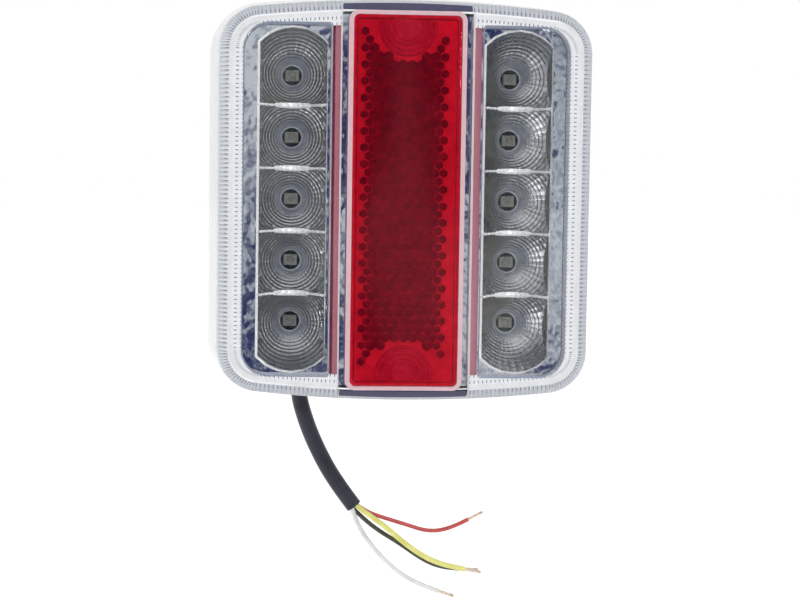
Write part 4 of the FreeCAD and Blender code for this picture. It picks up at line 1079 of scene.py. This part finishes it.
def make_elbow():
    """The elbow with its flanges and the grooves of its tail."""
    bend = ELBOW_TURN * math.pi / 2
    start = ELBOW_TURN - ELBOW_OUT
    end = bend + ELBOW_TAIL
    turns = [bend * step / ELBOW_STEPS for step in range(ELBOW_STEPS + 1)]
    profile = [(start - behind, radius) for behind, radius in ELBOW_FLANGES]
    profile += [(along, ELBOW_RADIUS) for along in turns]
    for groove in range(GROOVES):
        begin = bend + GROOVE_START + GROOVE_PITCH * groove
        radius = GROOVE_RADIUS - GROOVE_TAPER * groove
        profile += [(begin + along, radius - deep) for along, deep in GROOVE_ROWS]
    profile += [(end - 0.2, 2.8), (end, 2.6), (end, ELBOW_BORE)]
    profile += [(along, ELBOW_BORE) for along in reversed(turns)]
    elbow = ringed("rubber_elbow", [elbow_ring(along, radius) for along, radius in profile], looped=True)
    smooth(elbow.data, 35)
    rubber = textured("elbow_rubber", (0.012, 0.012, 0.013), (0.03, 0.03, 0.032), (0.5, 0.7), 2, 0.2, 0.01)
    settle(elbow, [rubber], "black_rubber", "cable_elbow")


# The housing.

HOUSING_ROUND, HOUSING_SEGMENTS, HOUSING_DEGREES = 0.3, 2, 50


def make_housing():
    """The black back, with its moulded edges rounded."""
    housing = welded_copy("housing", "moulded_housing")
    modifier = housing.modifiers.new("edges", "BEVEL")
    modifier.width = HOUSING_ROUND * MM
    modifier.segments = HOUSING_SEGMENTS
    modifier.limit_method = "ANGLE"
    modifier.angle_limit = math.radians(HOUSING_DEGREES)
    use_result(housing)
    smooth(housing.data, 30)
    plastic = textured("housing_abs", (0.014, 0.014, 0.015), (0.02, 0.02, 0.022), (0.42, 0.58),
                       5, 0.35, 0.015)
    settle(housing, [plastic], "black_plastic", "housing")


# Pieces whose CAD shape stays.


def finish_nodes():
    """Materials for the nodes that are shown as they are."""
    finishes = {
        "reflector_backing": textured("backing_abs", (0.3, 0.3, 0.31), (0.42, 0.42, 0.43), (0.4, 0.6)),
        "circuit_board": textured("solder_mask", (0.004, 0.02, 0.012), (0.01, 0.045, 0.025), (0.2, 0.4),
                                  1.5, 0.6),
        "resistors": textured("resistor_ink", (0.01, 0.01, 0.01), (0.05, 0.05, 0.05), (0.3, 0.5), 1),
        "diodes": textured("diode_epoxy", (0.008, 0.008, 0.009), (0.03, 0.03, 0.03), (0.35, 0.55), 1),
        "regulators": textured("regulator_epoxy", (0.01, 0.01, 0.012), (0.04, 0.04, 0.04), (0.4, 0.6), 1),
        "capacitors": textured("capacitor_ceramic", (0.42, 0.26, 0.13), (0.55, 0.36, 0.2), (0.4, 0.6), 1),
        "solder_joints": textured("solder_tin", (0.6, 0.6, 0.6), (0.8, 0.8, 0.8), (0.2, 0.4), 0.8,
                                  Metallic=1.0),
        "board_screws": zinc,
        "seal_bead": textured("sealant_grey", (0.5, 0.5, 0.5), (0.68, 0.68, 0.67), (0.4, 0.6), 2, 0.5, 0.02),
        "cable_entry": textured("entry_pvc", (0.008, 0.009, 0.014), (0.02, 0.024, 0.034), (0.28, 0.42),
                                6, 0.4),
        "cable_glue": textured("glue_amber", (0.7, 0.62, 0.4), (0.82, 0.76, 0.58), (0.25, 0.4), 1, 0.4,
                               Transmission_Weight=0.3),
        "lead_red": textured("lead_red_pvc", (0.55, 0.012, 0.014), (0.68, 0.03, 0.03), (0.3, 0.45)),
        "lead_yellow": textured("lead_yellow_pvc", (0.72, 0.6, 0.03), (0.83, 0.74, 0.1), (0.3, 0.45)),
        "lead_black": textured("lead_black_pvc", (0.012, 0.013, 0.012), (0.03, 0.03, 0.03), (0.3, 0.45)),
        "lead_white": textured("lead_white_pvc", (0.78, 0.78, 0.76), (0.9, 0.9, 0.88), (0.3, 0.45)),
    }
    for node, material in finishes.items():
        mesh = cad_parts[node].data
        mesh.materials.clear()
        mesh.materials.append(material)


# Surroundings: a white studio, darker on the camera's side, where the flat chrome mirrors it.

WHITE = (1, 1, 1, 1)
# Where, along Y in the world's own space, the dark part begins and ends.
ROOM_DARK_AT, ROOM_WHITE_AT = -0.9, -0.74
ROOM_STRETCH = (1, 1, 0.45)
ROOM_SCALE, ROOM_DETAIL = 11, 3
ROOM_NAVY, ROOM_PALE = (0.025, 0.035, 0.11), (0.56, 0.59, 0.62)
ROOM_STOPS = (0.45, 0.56)
# The colour sockets of a mix node: its two inputs and its output.
MIX_FIRST, MIX_SECOND, MIX_RESULT = 6, 7, 2
FLOOR_HALF, FLOOR_NEAR, FLOOR_DROP = 3.0, 0.6, 0.03
# Lights: place and size in metres, and power in watts.
LIGHTS = {
    "key": ((0.5, -0.9, 0.75), 0.6, 4),
    "glint_left": ((-0.4, -0.9, 0.4), 0.06, 0.3),
    "glint_right": ((0.55, -0.9, 0.1), 0.06, 0.3),
    "cable_edge": ((-0.95, -0.12, -0.1), 0.5, 4),
}


def whitened(tree, factor, colour):
    """A colour that gives way to white as factor goes from 0 to 1."""
    mix = tree.nodes.new("ShaderNodeMix")
    mix.data_type = "RGBA"
    tree.links.new(factor, mix.inputs["Factor"])
    tree.links.new(colour, mix.inputs[MIX_FIRST])
    mix.inputs[MIX_SECOND].default_value = WHITE
    return mix.outputs[MIX_RESULT]


def make_world():
    """White all round, with a mottled dark part that only reflections see."""
    world = bpy.data.worlds.new("studio")
    scene.world = world
    world.use_nodes = True
    tree = world.node_tree
    tree.nodes.clear()
    where = tree.nodes.new("ShaderNodeTexCoord")
    apart = tree.nodes.new("ShaderNodeSeparateXYZ")
    tree.links.new(where.outputs["Generated"], apart.inputs["Vector"])
    towards = tree.nodes.new("ShaderNodeMapRange")
    towards.interpolation_type = "SMOOTHSTEP"
    set_inputs(towards, From_Min=ROOM_DARK_AT, From_Max=ROOM_WHITE_AT)
    tree.links.new(apart.outputs["Y"], towards.inputs["Value"])
    stretch = tree.nodes.new("ShaderNodeMapping")
    set_inputs(stretch, Scale=ROOM_STRETCH)
    tree.links.new(where.outputs["Generated"], stretch.inputs["Vector"])
    cloud = tree.nodes.new("ShaderNodeTexNoise")
    set_inputs(cloud, Scale=ROOM_SCALE, Detail=ROOM_DETAIL)
    tree.links.new(stretch.outputs["Vector"], cloud.inputs["Vector"])
    mottled = mixed_colours(tree, cloud.outputs["Fac"], ROOM_NAVY, ROOM_PALE, *ROOM_STOPS)
    room = whitened(tree, towards.outputs["Result"], mottled)
    path = tree.nodes.new("ShaderNodeLightPath")
    plain = tree.nodes.new("ShaderNodeMath")
    plain.operation = "MAXIMUM"
    tree.links.new(path.outputs["Is Camera Ray"], plain.inputs[0])
    tree.links.new(path.outputs["Is Diffuse Ray"], plain.inputs[1])
    shown = whitened(tree, plain.outputs["Value"], room)
    background = tree.nodes.new("ShaderNodeBackground")
    tree.links.new(shown, background.inputs["Color"])
    output = tree.nodes.new("ShaderNodeOutputWorld")
    tree.links.new(background.outputs["Background"], output.inputs["Surface"])


def add_light(name, where, size, power):
    """A square area light that faces the lamp."""
    light = bpy.data.lights.new(name, "AREA")
    light.size = size
    light.energy = power
    lamp = bpy.data.objects.new(name, light)
    scene.collection.objects.link(lamp)
    lamp.location = where
    lamp.rotation_euler = Vector(where).to_track_quat("Z", "Y").to_euler()


def make_floor():
    """A wide, plain pale floor, a little below the lowest wire."""
    build = bmesh.new()
    bmesh.ops.create_grid(build, x_segments=2, y_segments=2, size=FLOOR_HALF)
    floor = add_piece("floor", finished_mesh("floor", build))
    floor.location = (0, FLOOR_HALF - FLOOR_NEAR, cad_box[0][2] - FLOOR_DROP)
    paper = textured("floor_paper", (0.93, 0.93, 0.93), (0.94, 0.94, 0.94), (0.8, 0.9), 40, 2,
                     Emission_Color=WHITE, Emission_Strength=0.15)
    floor.data.materials.clear()
    floor.data.materials.append(paper)


scene.view_settings.view_transform = "Standard"
make_camera()
make_cable()
make_world()
make_floor()
for name, (where, size, power) in LIGHTS.items():
    add_light(name, where, size, power)

zinc = textured("zinc_bright", (0.62, 0.64, 0.66), (0.78, 0.79, 0.8), (0.22, 0.4),
                1.5, 0.25, 0.004, Metallic=1.0)
dark_zinc = textured("zinc_spring", (0.42, 0.42, 0.44), (0.58, 0.58, 0.6), (0.3, 0.45),
                     1.5, 0.25, 0.004, Metallic=1.0)
# The LED cases take a grey-olive darker than their own cream colour: partly painted shade of the cups round
# them.
led_materials = [
    textured("led_case", (0.3, 0.3, 0.255), (0.38, 0.38, 0.325), (0.35, 0.5), 0.6, 0.2, 0.003),
    textured("led_resin", (0.27, 0.27, 0.23), (0.34, 0.335, 0.29), (0.2, 0.35), 0.6, 0.3, 0.003),
]
make_cover()
make_red_relief()
make_red_front()
make_chrome()
make_all_leds()
make_studs()
make_hardware()
make_elbow()
make_housing()
finish_nodes()
